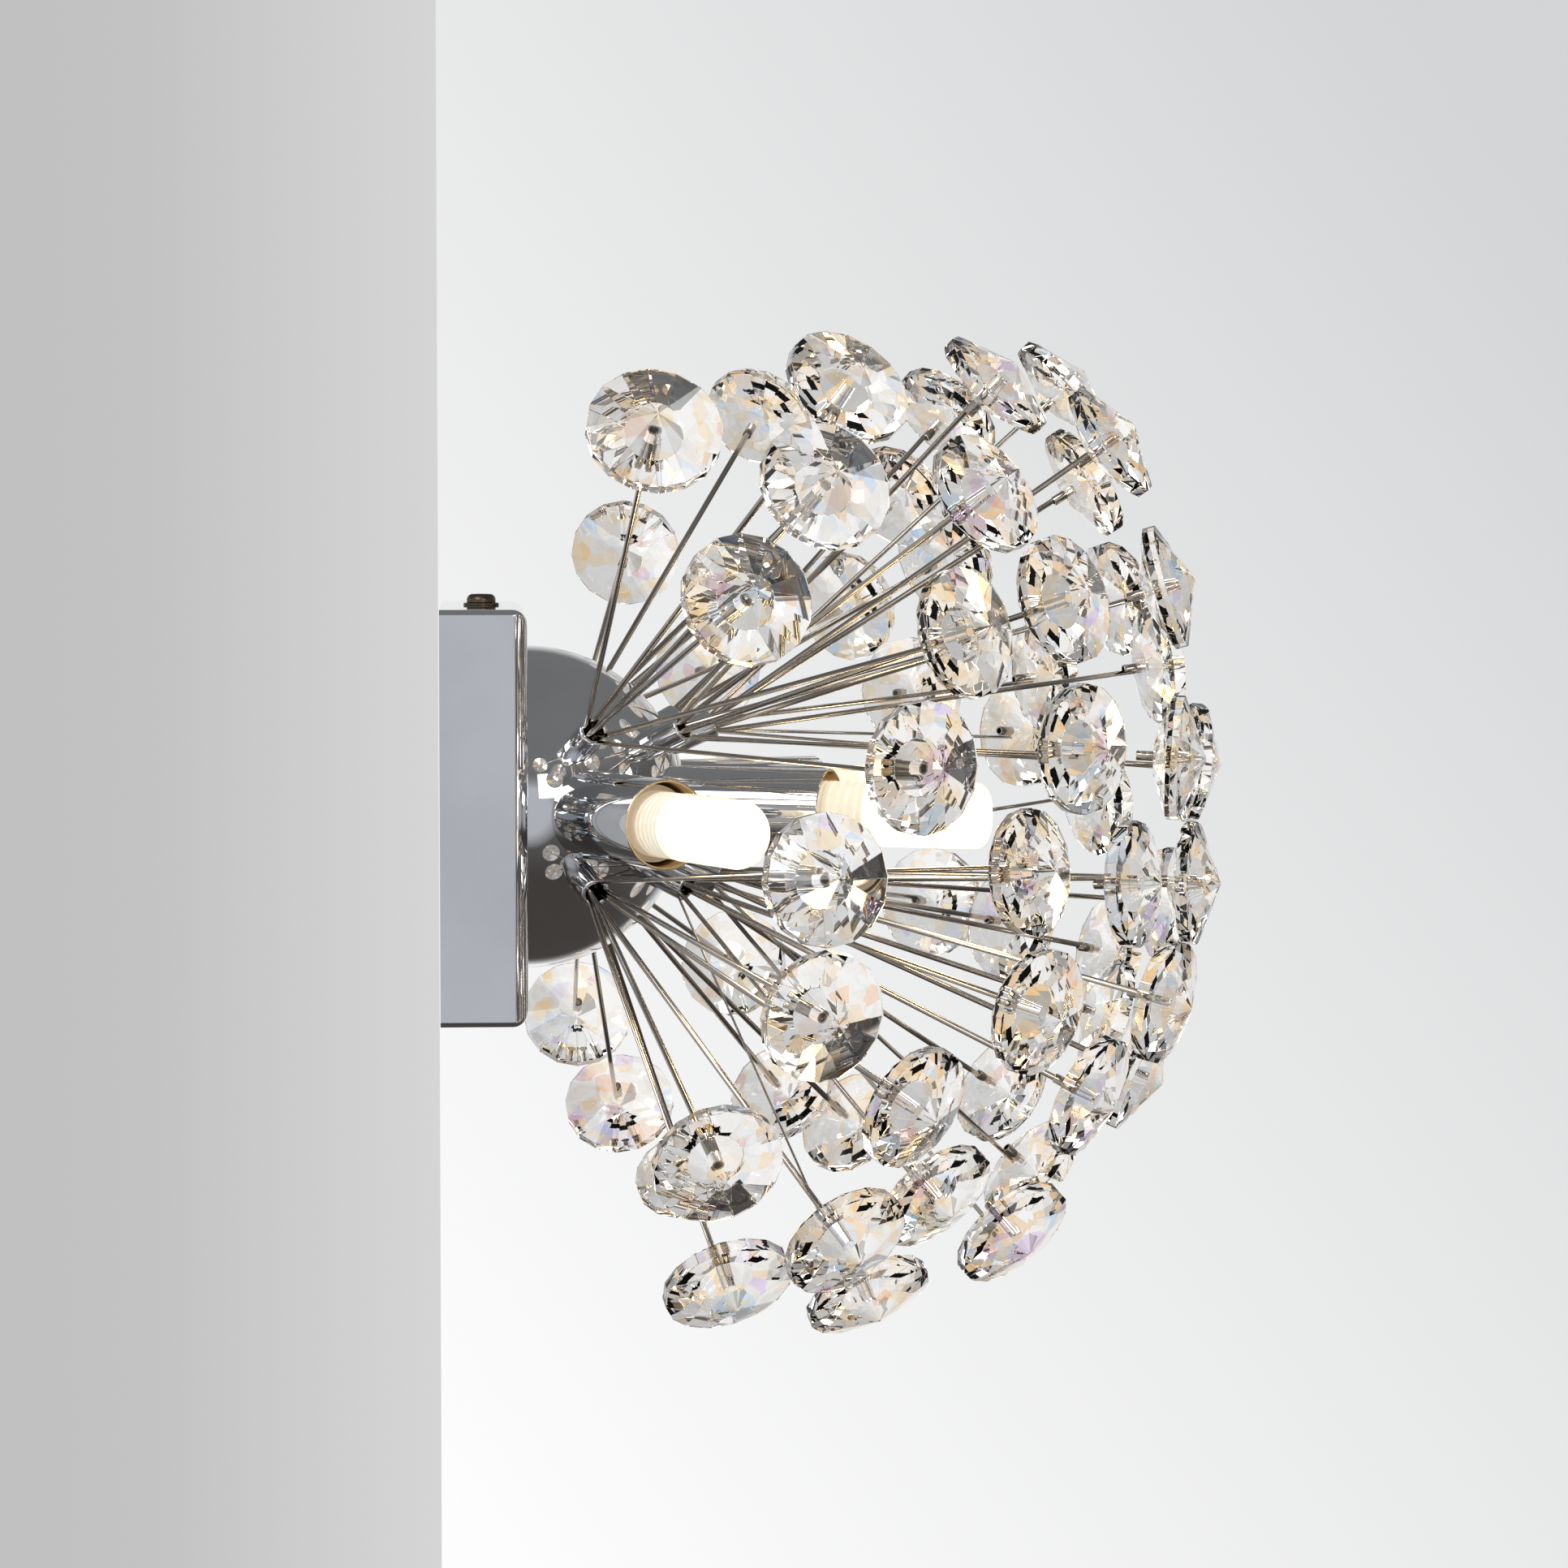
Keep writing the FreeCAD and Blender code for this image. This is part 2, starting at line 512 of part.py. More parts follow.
def terminal_block():
    drop = "-sizes.block_drop"
    body = block("block_body", "sizes.bracket_sheet", "sizes.block_depth", "sizes.block_width",
                 "sizes.block_height", "0", drop)
    middle = "(sizes.bracket_sheet + sizes.block_depth / 2)"
    clamp_start = "(%s - sizes.clamp_depth / 2)" % middle
    clamp_end = "(%s + sizes.clamp_depth / 2)" % middle
    bores = []
    clamps = []
    clamp_screws = []
    for name, sign in (("line", "1"), ("neutral", "-1")):
        across = "%s * sizes.clamp_spacing / 2" % sign
        bores.append(block("block_bore_" + name, clamp_start, "sizes.clamp_depth",
                           "sizes.clamp_width", "sizes.block_height * 2", across, drop))
        bores.append(rod("block_well_" + name, "sizes.clamp_screw_head + sizes.screw_clearance", middle,
                         "sizes.block_depth", across, drop))
        outer = block("clamp_body_" + name, clamp_start, "sizes.clamp_depth",
                      "sizes.clamp_width", "sizes.clamp_length", across, drop)
        inner = block("clamp_inside_" + name, clamp_start + " + sizes.clamp_wall",
                      "sizes.clamp_depth - 2 * sizes.clamp_wall", "sizes.clamp_width - 2 * sizes.clamp_wall",
                      "sizes.clamp_length * 2", across, drop)
        tapped = rod("clamp_tapped_hole_" + name, "sizes.clamp_screw_radius + sizes.thread_clearance", middle,
                     "sizes.block_depth", across, drop)
        clamps.append(cut("clamp_" + name, outer, inner, tapped))
        head_start = clamp_end + " + sizes.thread_clearance"
        shank = rod("clamp_screw_shank_" + name, "sizes.clamp_screw_radius",
                    head_start + " - sizes.clamp_screw_grip", "sizes.clamp_screw_grip", across, drop)
        head = rod("clamp_screw_head_" + name, "sizes.clamp_screw_head", head_start,
                   "sizes.clamp_head_height", across, drop)
        clamp_screws.append(joined("clamp_screw_" + name, shank, head))
    bores.append(rod("block_fixing_hole", "sizes.small_screw_radius + sizes.screw_clearance",
                     "0", "sizes.block_screw_seat", "0", drop))
    bores.append(rod("block_fixing_well", "sizes.small_head_radius + sizes.screw_clearance",
                     "sizes.block_screw_seat", "sizes.block_depth", "0", drop))
    keep(cut("block_with_bores", body, *bores), "terminal_block")
    keep(group("clamp_pair", clamps), "terminal_clamps")
    keep(group("clamp_screw_pair", clamp_screws), "terminal_screws")


def earth_point():
    seat = "(sizes.bracket_sheet + sizes.earth_collar_height)"
    head_seat = size("bracket_sheet") + size("earth_collar_height") + size("earth_ring_sheet")
    keep(pan_screw("earth_point_screw", "earth"), "earth_screw",
         Placement(Vector(head_seat, 0, size("earth_rise")), Rotation()))
    ring = rod("earth_ring", "sizes.earth_ring_radius", seat, "sizes.earth_ring_sheet", "0",
               "sizes.earth_rise")
    edge = "(sizes.earth_rise + sizes.earth_ring_radius)"
    tongue = block("earth_tongue", seat, "sizes.earth_ring_sheet", "sizes.earth_tongue_width",
                   "2 * sizes.earth_tongue_length", "0", edge)
    barrel_start = "(%s + sizes.earth_tongue_length - sizes.earth_ring_sheet)" % edge
    barrel_middle = seat + " + sizes.earth_barrel_radius"
    barrel = post("earth_barrel", "sizes.earth_barrel_radius", barrel_start, "sizes.earth_barrel_length",
                  barrel_middle)
    hole = rod("earth_ring_hole", "sizes.earth_screw_radius + sizes.screw_clearance", seat,
               "sizes.drill_run", "0", "sizes.earth_rise")
    mouth = post("earth_barrel_mouth", "sizes.earth_barrel_radius - sizes.earth_barrel_wall", barrel_start,
                 "sizes.earth_barrel_length + sizes.drill_run", barrel_middle)
    solid = joined("earth_ring_solid", ring, tongue, barrel)
    keep(cut("earth_ring_terminal", solid, hole, mouth), "earth_tag")


# ---------------------------------------------------------------- dome


def dome():
    outer = ball("dome_outside", "sizes.dome_radius")
    inner = ball("dome_inside", "sizes.dome_radius - sizes.dome_wall")
    for sphere in (outer, inner):
        sphere.Angle1 = 0
        sphere.Placement = Placement(Vector(), ALONG_X)
    shell = cut("dome_shell", outer, inner)
    lugs = []
    taps = []
    for number, spot in enumerate(lug_spots(), start=1):
        lugs.append(rod("dome_lug_%d" % number, "sizes.dome_lug_radius", "0", "sizes.dome_lug_height",
                        spot[0], spot[1]))
        taps.append(rod("dome_lug_tap_%d" % number, "sizes.small_screw_radius + sizes.thread_clearance",
                        "-sizes.drill_run", "sizes.drill_run + sizes.small_screw_length",
                        spot[0], spot[1]))
    holes = []
    for number, aim in enumerate(LAMP_AIMS, start=1):
        hole = rod("dome_lamp_hole_%d" % number, "sizes.nipple_radius + sizes.thread_clearance", "0",
                   "sizes.dome_radius + sizes.drill_run")
        holes.append((hole, aim))
    for name, aim in HOLDERS.items():
        hole = rod("dome_stud_hole_" + name, "sizes.holder_stud_radius + sizes.thread_clearance", "0",
                   "sizes.dome_radius + sizes.drill_run")
        holes.append((hole, aim))
    turned_holes = []
    for hole, aim in holes:
        turned_hole = group(hole.Name + "_aimed", [hole])
        turned_hole.Placement = Placement(Vector(), facing(aim))
        turned_holes.append(turned_hole)
    drilled = cut("dome_drilled", shell, *turned_holes)
    solid = joined("dome_with_lugs", drilled, *lugs)
    keep(cut("dome_finished", solid, *taps), "dome", Placement(DOME_CENTRE, Rotation()))


def small_screws():
    """The dome's three screws and the terminal block's one, all alike."""
    screws = []
    inside_front = size("box_depth") - size("box_wall")
    for number, spot in enumerate(lug_spots(), start=1):
        screw = pan_screw("dome_screw_%d" % number, "small")
        across = float(sheet.evalExpression(spot[0]))
        rise = float(sheet.evalExpression(spot[1]))
        screw.Placement = Placement(Vector(inside_front, across, rise), Rotation(UP, 180))
        screws.append(screw)
    fixing = pan_screw("block_fixing_screw", "small")
    fixing.Placement = Placement(Vector(size("block_screw_seat"), 0, -size("block_drop")), Rotation())
    screws.append(fixing)
    keep(group("small_pan_screws", screws), "small_screws")


# ---------------------------------------------------------------- lamps


def lamp_sleeve(number, aim):
    name = "sleeve_%d" % number
    bore = "(sizes.sleeve_radius - sizes.sleeve_wall)"
    start = "sizes.sleeve_start"
    mouth = "sizes.sleeve_reach"
    hole = "(sizes.nipple_radius + sizes.thread_clearance)"
    cup = turned(name + "_cup", [(start, hole), (start, "sizes.sleeve_radius"),
                                 (mouth + " - sizes.sleeve_lip", "sizes.sleeve_radius"),
                                 (mouth, "sizes.sleeve_radius - sizes.sleeve_lip"), (mouth, bore),
                                 ("sizes.sleeve_floor", bore), ("sizes.sleeve_floor", hole)])
    keep(cut(name, cup, ball(name + "_seat", "sizes.dome_radius")), "lamp_sleeve_%d" % number, from_dome(aim))


def contact_rise():
    """Inner face of a contact strip, above the lamp's axis."""
    return "(sizes.pin_spacing / 2 + sizes.pin_sheet / 2 + sizes.pin_play)"


def lamp_socket(number, aim):
    name = "socket_%d" % number
    face = "sizes.socket_face"
    body = rod(name + "_body", "sizes.socket_radius", "sizes.socket_start", face + " - sizes.socket_start")
    nipple_hole = rod(name + "_nipple_hole", "sizes.nipple_radius + sizes.thread_clearance",
                      "sizes.socket_start", "sizes.nipple_end - sizes.socket_start")
    chamber = rod(name + "_chamber", "sizes.socket_chamber_radius", "sizes.nipple_end",
                  "sizes.socket_chamber_end - sizes.nipple_end")
    low = "(sizes.pin_spacing / 2 - sizes.pin_sheet / 2 - sizes.pin_play)"
    high = "(%s + sizes.contact_sheet)" % contact_rise()
    slots = []
    for side, sign in (("upper", "1"), ("lower", "-1")):
        slots.append(block("%s_slot_%s" % (name, side), "sizes.socket_chamber_end - sizes.pin_play",
                           face + " - sizes.socket_chamber_end + 2 * sizes.pin_play",
                           "sizes.pin_width + 2 * sizes.pin_play", high + " - " + low,
                           "0", "%s * (%s + %s) / 2" % (sign, low, high)))
    keep(cut(name, body, nipple_hole, chamber, *slots), "lamp_socket_%d" % number, from_dome(aim))


def socket_contacts():
    strips = []
    middle = "(%s + sizes.contact_sheet / 2)" % contact_rise()
    for number, aim in enumerate(LAMP_AIMS, start=1):
        pair = []
        for side, sign in (("upper", "1"), ("lower", "-1")):
            pair.append(block("contact_%d_%s" % (number, side), "sizes.contact_start", "sizes.contact_length",
                              "sizes.contact_width", "sizes.contact_sheet", "0", "%s * %s" % (sign, middle)))
        contact_pair = group("contact_pair_%d" % number, pair)
        contact_pair.Placement = from_dome(aim)
        strips.append(contact_pair)
    keep(group("contact_strips", strips), "socket_contacts")


def lamp_nipples():
    tubes = []
    nuts = []
    ring = "(sizes.dome_radius - sizes.dome_wall)"
    corner = "(sizes.nipple_nut_flats / sqrt(3))"
    seat = "sqrt(%s * %s - %s * %s)" % (ring, ring, corner, corner)
    for number, aim in enumerate(LAMP_AIMS, start=1):
        length = "sizes.nipple_end - sizes.nipple_start"
        outer = rod("nipple_outside_%d" % number, "sizes.nipple_radius", "sizes.nipple_start", length)
        inner = rod("nipple_bore_%d" % number, "sizes.nipple_bore", "sizes.nipple_start", length)
        tube = cut("nipple_%d" % number, outer, inner)
        tube.Placement = from_dome(aim)
        tubes.append(tube)
        starts = (("inner", "%s - sizes.nipple_nut_height" % seat), ("outer", "sizes.sleeve_floor"))
        for place, start in starts:
            prism = hexagon("nipple_nut_%s_hex_%d" % (place, number), "sizes.nipple_nut_flats", start,
                            "sizes.nipple_nut_height")
            hole = rod("nipple_nut_%s_hole_%d" % (place, number),
                       "sizes.nipple_radius + sizes.thread_clearance", start, "sizes.nipple_nut_height")
            nut = cut("nipple_nut_%s_%d" % (place, number), prism, hole)
            nut.Placement = from_dome(aim)
            nuts.append(nut)
    keep(group("nipple_set", tubes), "lamp_nipples")
    keep(group("nipple_nut_set", nuts), "lamp_nuts")


def bulb(number, aim):
    name = "bulb_%d" % number
    foot = "(sizes.socket_face + sizes.bulb_gap)"
    shoulder = "sizes.bulb_base_end"
    collar = "(sizes.bulb_radius - sizes.bulb_cover_wall - sizes.thread_clearance)"
    collar_end = "(sizes.bulb_base_end + sizes.bulb_collar)"
    base = turned(name + "_base_body", [(foot, "0"), (foot, "sizes.bulb_base_radius"),
                                        (shoulder, "sizes.bulb_base_radius"), (shoulder, collar),
                                        (collar_end, collar), (collar_end, "0")])
    parts = [base]
    for side, sign in (("upper", "1"), ("lower", "-1")):
        parts.append(block("%s_pin_%s" % (name, side), foot + " - sizes.pin_length", "sizes.pin_length",
                           "sizes.pin_width", "sizes.pin_sheet", "0", "%s * sizes.pin_spacing / 2" % sign))
    keep(group(name + "_cap", parts), "bulb_base_%d" % number, from_dome(aim))
    tip = "sizes.bulb_tip"
    wall = "sizes.bulb_cover_wall"
    outside = "sizes.bulb_radius"
    inside = "(sizes.bulb_radius - sizes.bulb_cover_wall)"
    bend = "sizes.bulb_cover_round"
    slant = "(sizes.bulb_cover_round * (1 - sqrt(0.5)))"
    keep(turned(name + "_cover_body", [(shoulder, inside), (shoulder, outside), (tip + " - " + bend, outside),
                                       (tip + " - " + slant, outside + " - " + slant),
                                       (tip, outside + " - " + bend), (tip, "0"), (tip + " - " + wall, "0"),
                                       (tip + " - " + wall, outside + " - " + bend),
                                       (tip + " - " + bend, inside)]),
         "bulb_cover_%d" % number, from_dome(aim))
    core = document.addObject("Part::Prism", name + "_core_prism")
    core.Polygon = 6
    core.Placement = Placement(Vector(), ALONG_X)
    bind(core, Circumradius="sizes.bulb_core_radius", Placement__Base__x=collar_end,
         Height="sizes.bulb_tip - sizes.bulb_core_gap - %s" % collar_end)
    keep(group(name + "_core", [core]), "bulb_core_%d" % number, from_dome(aim))


# ---------------------------------------------------------------- leads


def rounded_tube(points, radius):
    """Round tube along straight runs, each corner an arc as large as its runs allow."""
    edges = []
    start = points[0]
    for before, corner, after in zip(points, points[1:], points[2:]):
        into = corner - before
        out = after - corner
        turn = into.getAngle(out)
        reach = size("lead_bend_share") * min(into.Length, out.Length)
        into.normalize()
        out.normalize()
        first = corner - into * reach
        last = corner + out * reach
        bend_radius = reach / math.tan(turn / 2)
        middle_way = out - into
        middle_way.normalize()
        middle = corner + middle_way * (bend_radius / math.cos(turn / 2) - bend_radius)
        edges.append(Part.LineSegment(start, first).toShape())
        edges.append(Part.Arc(first, middle, last).toShape())
        start = last
    edges.append(Part.LineSegment(start, points[-1]).toShape())
    path = Part.Wire(edges)
    heading = points[1] - points[0]
    section = Part.Wire([Part.Circle(points[0], heading, radius).toShape()])
    return path.makePipeShell([section], True, False)


def lead_route(number, aim, level):
    """From a lamp's contact to the terminal block; level 1 is the upper lead, -1 the lower."""
    seat = -LAMP_SEATS[number - 1]
    rise = level * size("lead_rise")
    turn = facing(aim)
    contact = DOME_CENTRE + turn.multVec(Vector(size("lead_tail"), 0, level * size("pin_spacing") / 2))
    tube_outer = DOME_CENTRE + turn.multVec(Vector(size("lead_tube_outer"), 0, rise))
    tube_inner = DOME_CENTRE + turn.multVec(Vector(size("lead_tube_inner"), 0, rise))
    gather = Vector(size("lead_gather"), seat * size("lead_gap"), rise)
    drop = size("lead_drop_near") if level > 0 else size("lead_drop_far")
    corner = Vector(drop, seat * size("lead_gap"), rise)
    middle = size("bracket_sheet") + size("block_depth") / 2
    across = level * size("clamp_spacing") / 2 + seat * size("lead_clamp_gap")
    block_top = size("block_height") / 2 - size("block_drop")
    above = Vector(middle, across, block_top + size("lead_clamp_run"))
    end = Vector(middle, across, block_top - size("lead_rise"))
    return [contact, tube_outer, tube_inner, gather, corner, above, end]


def lamp_leads():
    tubes = []
    for number, aim in enumerate(LAMP_AIMS, start=1):
        for level in (1, -1):
            tubes.append(rounded_tube(lead_route(number, aim, level), size("lead_radius")))
    leads = document.addObject("Part::Feature", "lead_set")
    leads.Shape = Part.makeCompound(tubes)
    keep(leads, "lamp_leads", Placement())


# ---------------------------------------------------------------- wires and crystals


def wire_holders(row):
    holders = []
    for name, aim in HOLDERS.items():
        if not name.startswith(row):
            continue
        reach = "sizes.holder_reach"
        floor = "(sizes.holder_reach - sizes.holder_depth)"
        start = "sizes.holder_start"
        tube = turned("holder_tube_" + name,
                      [(start, "0"), (start, "sizes.holder_radius"),
                       (reach + " - sizes.holder_lip", "sizes.holder_radius"),
                       (reach, "sizes.holder_radius - sizes.holder_lip"), (reach, "sizes.holder_bore"),
                       (floor, "sizes.holder_bore"), (floor, "0")])
        coped = cut("holder_coped_" + name, tube, ball("holder_seat_" + name, "sizes.dome_radius"))
        stud = rod("holder_stud_" + name, "sizes.holder_stud_radius", "sizes.holder_stud_start",
                   "sizes.holder_stud_end - sizes.holder_stud_start")
        holder = joined("holder_" + name, coped, stud)
        holder.Placement = from_dome(aim)
        holders.append(holder)
    keep(group("holders_" + row, holders), "wire_holders_" + row)


def stud_nuts():
    nuts = []
    ring = "(sizes.dome_radius - sizes.dome_wall)"
    corner = "(sizes.stud_nut_flats / sqrt(3))"
    seat = "sqrt(%s * %s - %s * %s)" % (ring, ring, corner, corner)
    for name, aim in HOLDERS.items():
        start = "%s - sizes.stud_nut_height" % seat
        prism = hexagon("stud_nut_hex_" + name, "sizes.stud_nut_flats", start, "sizes.stud_nut_height")
        hole = rod("stud_nut_hole_" + name, "sizes.holder_stud_radius + sizes.thread_clearance", start,
                   "sizes.stud_nut_height")
        nut = cut("stud_nut_" + name, prism, hole)
        nut.Placement = from_dome(aim)
        nuts.append(nut)
    keep(group("stud_nut_set", nuts), "holder_nuts")


def wire_starts(name):
    """Each wire's middle at the holder's mouth, its heading and its straight length."""
    aim = HOLDERS[name]
    upright = UP - aim * UP.dot(aim)
    upright.normalize()
    side = aim.cross(upright)
    mouth = DOME_CENTRE + aim * size("holder_reach")
    starts = []
    for seat, (sideways, rise, length) in enumerate(WIRE_AIMS[name]):
        turn = 2 * math.pi * seat / len(WIRE_AIMS[name])
        offset = (upright * math.cos(turn) + side * math.sin(turn)) * size("wire_circle")
        starts.append((mouth + offset, aimed(sideways, rise), length))
    return starts


def bend_corner(start, aim, heading):
    """Where the straight runs before and after a wire's bend would meet."""
    return start + aim * (size("wire_bend") * math.tan(aim.getAngle(heading) / 2))


def crystal_wires(name):
    aim = HOLDERS[name]
    wires = []
    for start, heading, length in wire_starts(name):
        turn = aim.getAngle(heading)
        corner = bend_corner(start, aim, heading)
        inward = heading - aim * heading.dot(aim)
        inward.normalize()
        centre = start + inward * size("wire_bend")
        halfway = aim * math.sin(turn / 2) - inward * math.cos(turn / 2)
        bend_end = corner + heading * (corner - start).Length
        bend_middle = centre + halfway * size("wire_bend")
        root = start - aim * size("holder_depth")
        tip = corner + heading * (length - size("crystal_pin_end"))
        path = Part.Wire([Part.LineSegment(root, start).toShape(),
                          Part.Arc(start, bend_middle, bend_end).toShape(),
                          Part.LineSegment(bend_end, tip).toShape()])
        section = Part.Wire([Part.Circle(root, aim, size("wire_radius")).toShape()])
        wires.append(path.makePipeShell([section], True, False))
    bundle = document.addObject("Part::Feature", "wire_bundle_" + name)
    bundle.Shape = Part.makeCompound(wires)
    keep(bundle, "wires_" + name, Placement())


def crystal_pattern():
    """One faceted disc, its middle at the origin and its point along +X."""
    tiers = []
    levels = [("back", "sizes.crystal_table_radius", "-sizes.crystal_back"),
              ("lower_edge", "sizes.crystal_radius", "-sizes.crystal_girdle"),
              ("upper_edge", "sizes.crystal_radius", "sizes.crystal_girdle")]
    for name, radius, distance in levels:
        tier = document.addObject("Part::RegularPolygon", "crystal_tier_" + name)
        tier.Placement = Placement(Vector(), ALONG_X)
        bind(tier, Polygon="sizes.crystal_facets", Circumradius=radius, Placement__Base__x=distance)
        tiers.append(tier)
    point = document.addObject("Part::Vertex", "crystal_point")
    bind(point, X="sizes.crystal_front")
    tiers.append(point)
    disc = document.addObject("Part::Loft", "crystal_disc")
    disc.Sections = tiers
    disc.Solid = True
    disc.Ruled = True
    drill_end = "sizes.crystal_pin_clearance - sizes.crystal_pin_end"
    drill = rod("crystal_drill", "sizes.crystal_pin_radius + sizes.crystal_pin_clearance",
                "-sizes.crystal_pin_length", "sizes.crystal_pin_length + " + drill_end)
    crystal = cut("crystal_cut_disc", disc, drill)
    pin = rod("crystal_pin_outside", "sizes.crystal_pin_radius",
              "-sizes.crystal_pin_length - sizes.crystal_pin_end", "sizes.crystal_pin_length")
    pin_bore = rod("crystal_pin_bore", "sizes.wire_radius + sizes.crystal_pin_clearance",
                   "-2 * sizes.crystal_pin_length", "2 * sizes.crystal_pin_length")
    return crystal, cut("crystal_pin_tube", pin, pin_bore)


def copies(pattern, prefix, placements):
    links = []
    for number, placement in enumerate(placements, start=1):
        link = document.addObject("App::Link", "%s_%d" % (prefix, number))
        link.LinkedObject = pattern
        link.Placement = placement
        links.append(link)
    return links


def crystals_and_pins():
    crystal, pin = crystal_pattern()
    every_pin = []
    for name, aim in HOLDERS.items():
        placements = []
        for start, heading, length in wire_starts(name):
            middle = bend_corner(start, aim, heading) + heading * length
            placements.append(Placement(middle, facing(heading)))
        spray = copies(crystal, "crystal_" + name, placements)
        keep(group("crystal_spray_" + name, spray), "crystals_" + name)
        every_pin += copies(pin, "crystal_pin_" + name, placements)
    keep(group("crystal_pin_set", every_pin), "crystal_pins")


# ---------------------------------------------------------------- the whole sconce

canopy_box()
wall_bracket()
canopy_fasteners()
lead_bush()
terminal_block()
earth_point()
dome()
small_screws()
lamp_nipples()
for number, aim in enumerate(LAMP_AIMS, start=1):
    lamp_sleeve(number, aim)
    lamp_socket(number, aim)
    bulb(number, aim)
socket_contacts()
lamp_leads()
wire_holders("upper")
wire_holders("lower")
stud_nuts()
for name in HOLDERS:
    crystal_wires(name)
crystals_and_pins()
document.recompute()

for item in document.Objects:
    if "Invalid" in item.State or "Error" in item.State:
        raise RuntimeError("failed object: " + item.Label)
shapes = {}
for node in nodes:
    shape = Part.getShape(node)
    if shape.isNull() or not shape.isValid():
        raise RuntimeError("bad shape: " + node.Label)
    shapes[node.Label] = shape

os.makedirs("parts", exist_ok=True)
for label, shape in shapes.items():
    shape.exportStep("parts/%s.step" % label)
    print("%-24s %3d solids %12.2f mm3" % (label, len(shape.Solids), shape.Volume))
print(len(shapes), "nodes")
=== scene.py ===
import math

import bpy
from mathutils import Matrix, Vector


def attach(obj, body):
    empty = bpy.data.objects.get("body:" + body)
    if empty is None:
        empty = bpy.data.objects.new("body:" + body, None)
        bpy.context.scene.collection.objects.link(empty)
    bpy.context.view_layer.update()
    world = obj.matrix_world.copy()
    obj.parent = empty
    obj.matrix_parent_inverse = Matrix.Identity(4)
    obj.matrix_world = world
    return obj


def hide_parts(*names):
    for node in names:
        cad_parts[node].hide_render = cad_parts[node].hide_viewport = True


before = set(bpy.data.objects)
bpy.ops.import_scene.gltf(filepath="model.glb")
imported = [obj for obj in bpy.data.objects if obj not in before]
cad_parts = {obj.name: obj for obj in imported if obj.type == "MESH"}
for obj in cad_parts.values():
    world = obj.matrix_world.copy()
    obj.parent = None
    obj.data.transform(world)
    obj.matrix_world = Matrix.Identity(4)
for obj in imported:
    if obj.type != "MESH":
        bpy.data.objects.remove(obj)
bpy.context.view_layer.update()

mm = 0.001  # sizes below are in millimetres, and in metres from the stage on
near = 0.01 * mm  # as good as touching
hubSpot = Vector((21 * mm, 0, 0))  # middle of the hub's rim, on the canopy's front
up = Vector((0, 0, 1))
print("frame loaded")


# ways to work on a piece

def layDown():
    if bpy.context.mode != "OBJECT":
        bpy.ops.object.mode_set(mode="OBJECT")
    bpy.ops.object.select_all(action="DESELECT")


def takeUp(*pieces):  # selects these pieces, the last one active
    layDown()
    for piece in pieces:
        piece.select_set(True)
    bpy.context.view_layer.objects.active = pieces[-1]


def named(name):
    piece = bpy.context.object
    piece.name = name
    piece.data.name = name
    return piece


def settle(piece):  # its place goes into its mesh
    takeUp(piece)
    bpy.ops.object.transform_apply(location=True, rotation=True, scale=True)
    return piece


def pickFaces(piece, test):
    takeUp(piece)
    bpy.ops.object.mode_set(mode="EDIT")
    bpy.ops.mesh.select_mode(type="FACE")
    bpy.ops.mesh.select_all(action="DESELECT")
    bpy.ops.object.mode_set(mode="OBJECT")
    for face in piece.data.polygons:
        face.select = test(face)
    bpy.ops.object.mode_set(mode="EDIT")


def pickEdges(piece, test):
    takeUp(piece)
    bpy.ops.object.mode_set(mode="EDIT")
    bpy.ops.mesh.select_mode(type="EDGE")
    bpy.ops.mesh.select_all(action="DESELECT")
    bpy.ops.object.mode_set(mode="OBJECT")
    points = piece.data.vertices
    for edge in piece.data.edges:
        edge.select = test(points[edge.vertices[0]].co, points[edge.vertices[1]].co)
    bpy.ops.object.mode_set(mode="EDIT")


def withModifier(piece, kind, **settings):
    takeUp(piece)
    modifier = piece.modifiers.new(kind.title(), kind)
    for key, value in settings.items():
        setattr(modifier, key, value)
    bpy.ops.object.modifier_apply(modifier=modifier.name)
    return piece


def smoothed(piece, degrees=32):
    takeUp(piece)
    bpy.ops.object.shade_smooth_by_angle(angle=math.radians(degrees))
    return piece


def joined(name, pieces):
    takeUp(*pieces)
    if len(pieces) > 1:
        bpy.ops.object.join()
    return named(name)


def drop(piece):
    bpy.data.objects.remove(piece, do_unlink=True)


def cutBy(piece, tool):
    withModifier(piece, "BOOLEAN", operation="DIFFERENCE", object=tool, solver="EXACT")
    drop(tool)
    return piece


def copyTo(master, name, place):
    takeUp(master)
    bpy.ops.object.duplicate(linked=False)
    piece = named(name)
    piece.matrix_world = place @ piece.matrix_world
    return settle(piece)


def aimed(sideways, rise):  # degrees towards -Y and degrees up
    turn, lift = math.radians(sideways), math.radians(rise)
    return Vector((math.cos(lift) * math.cos(turn), -math.cos(lift) * math.sin(turn), math.sin(lift)))


def facing(aim, spot):  # takes +X to aim and the origin to spot, and keeps +Z as upright as it can
    across = up.cross(aim)
    side = across.normalized() if across.length > 0.001 else Vector((0, 1, 0))  # straight up or down
    turn = Matrix((aim, side, aim.cross(side))).transposed().to_4x4()
    return Matrix.Translation(spot) @ turn


def arc(middle, radius, first, last, count):  # points of an arc in a profile, degrees from +X
    points = []
    for step in range(count + 1):
        turn = math.radians(first + (last - first) * step / count)
        points.append((middle[0] + radius * math.cos(turn), middle[1] + radius * math.sin(turn)))
    return points


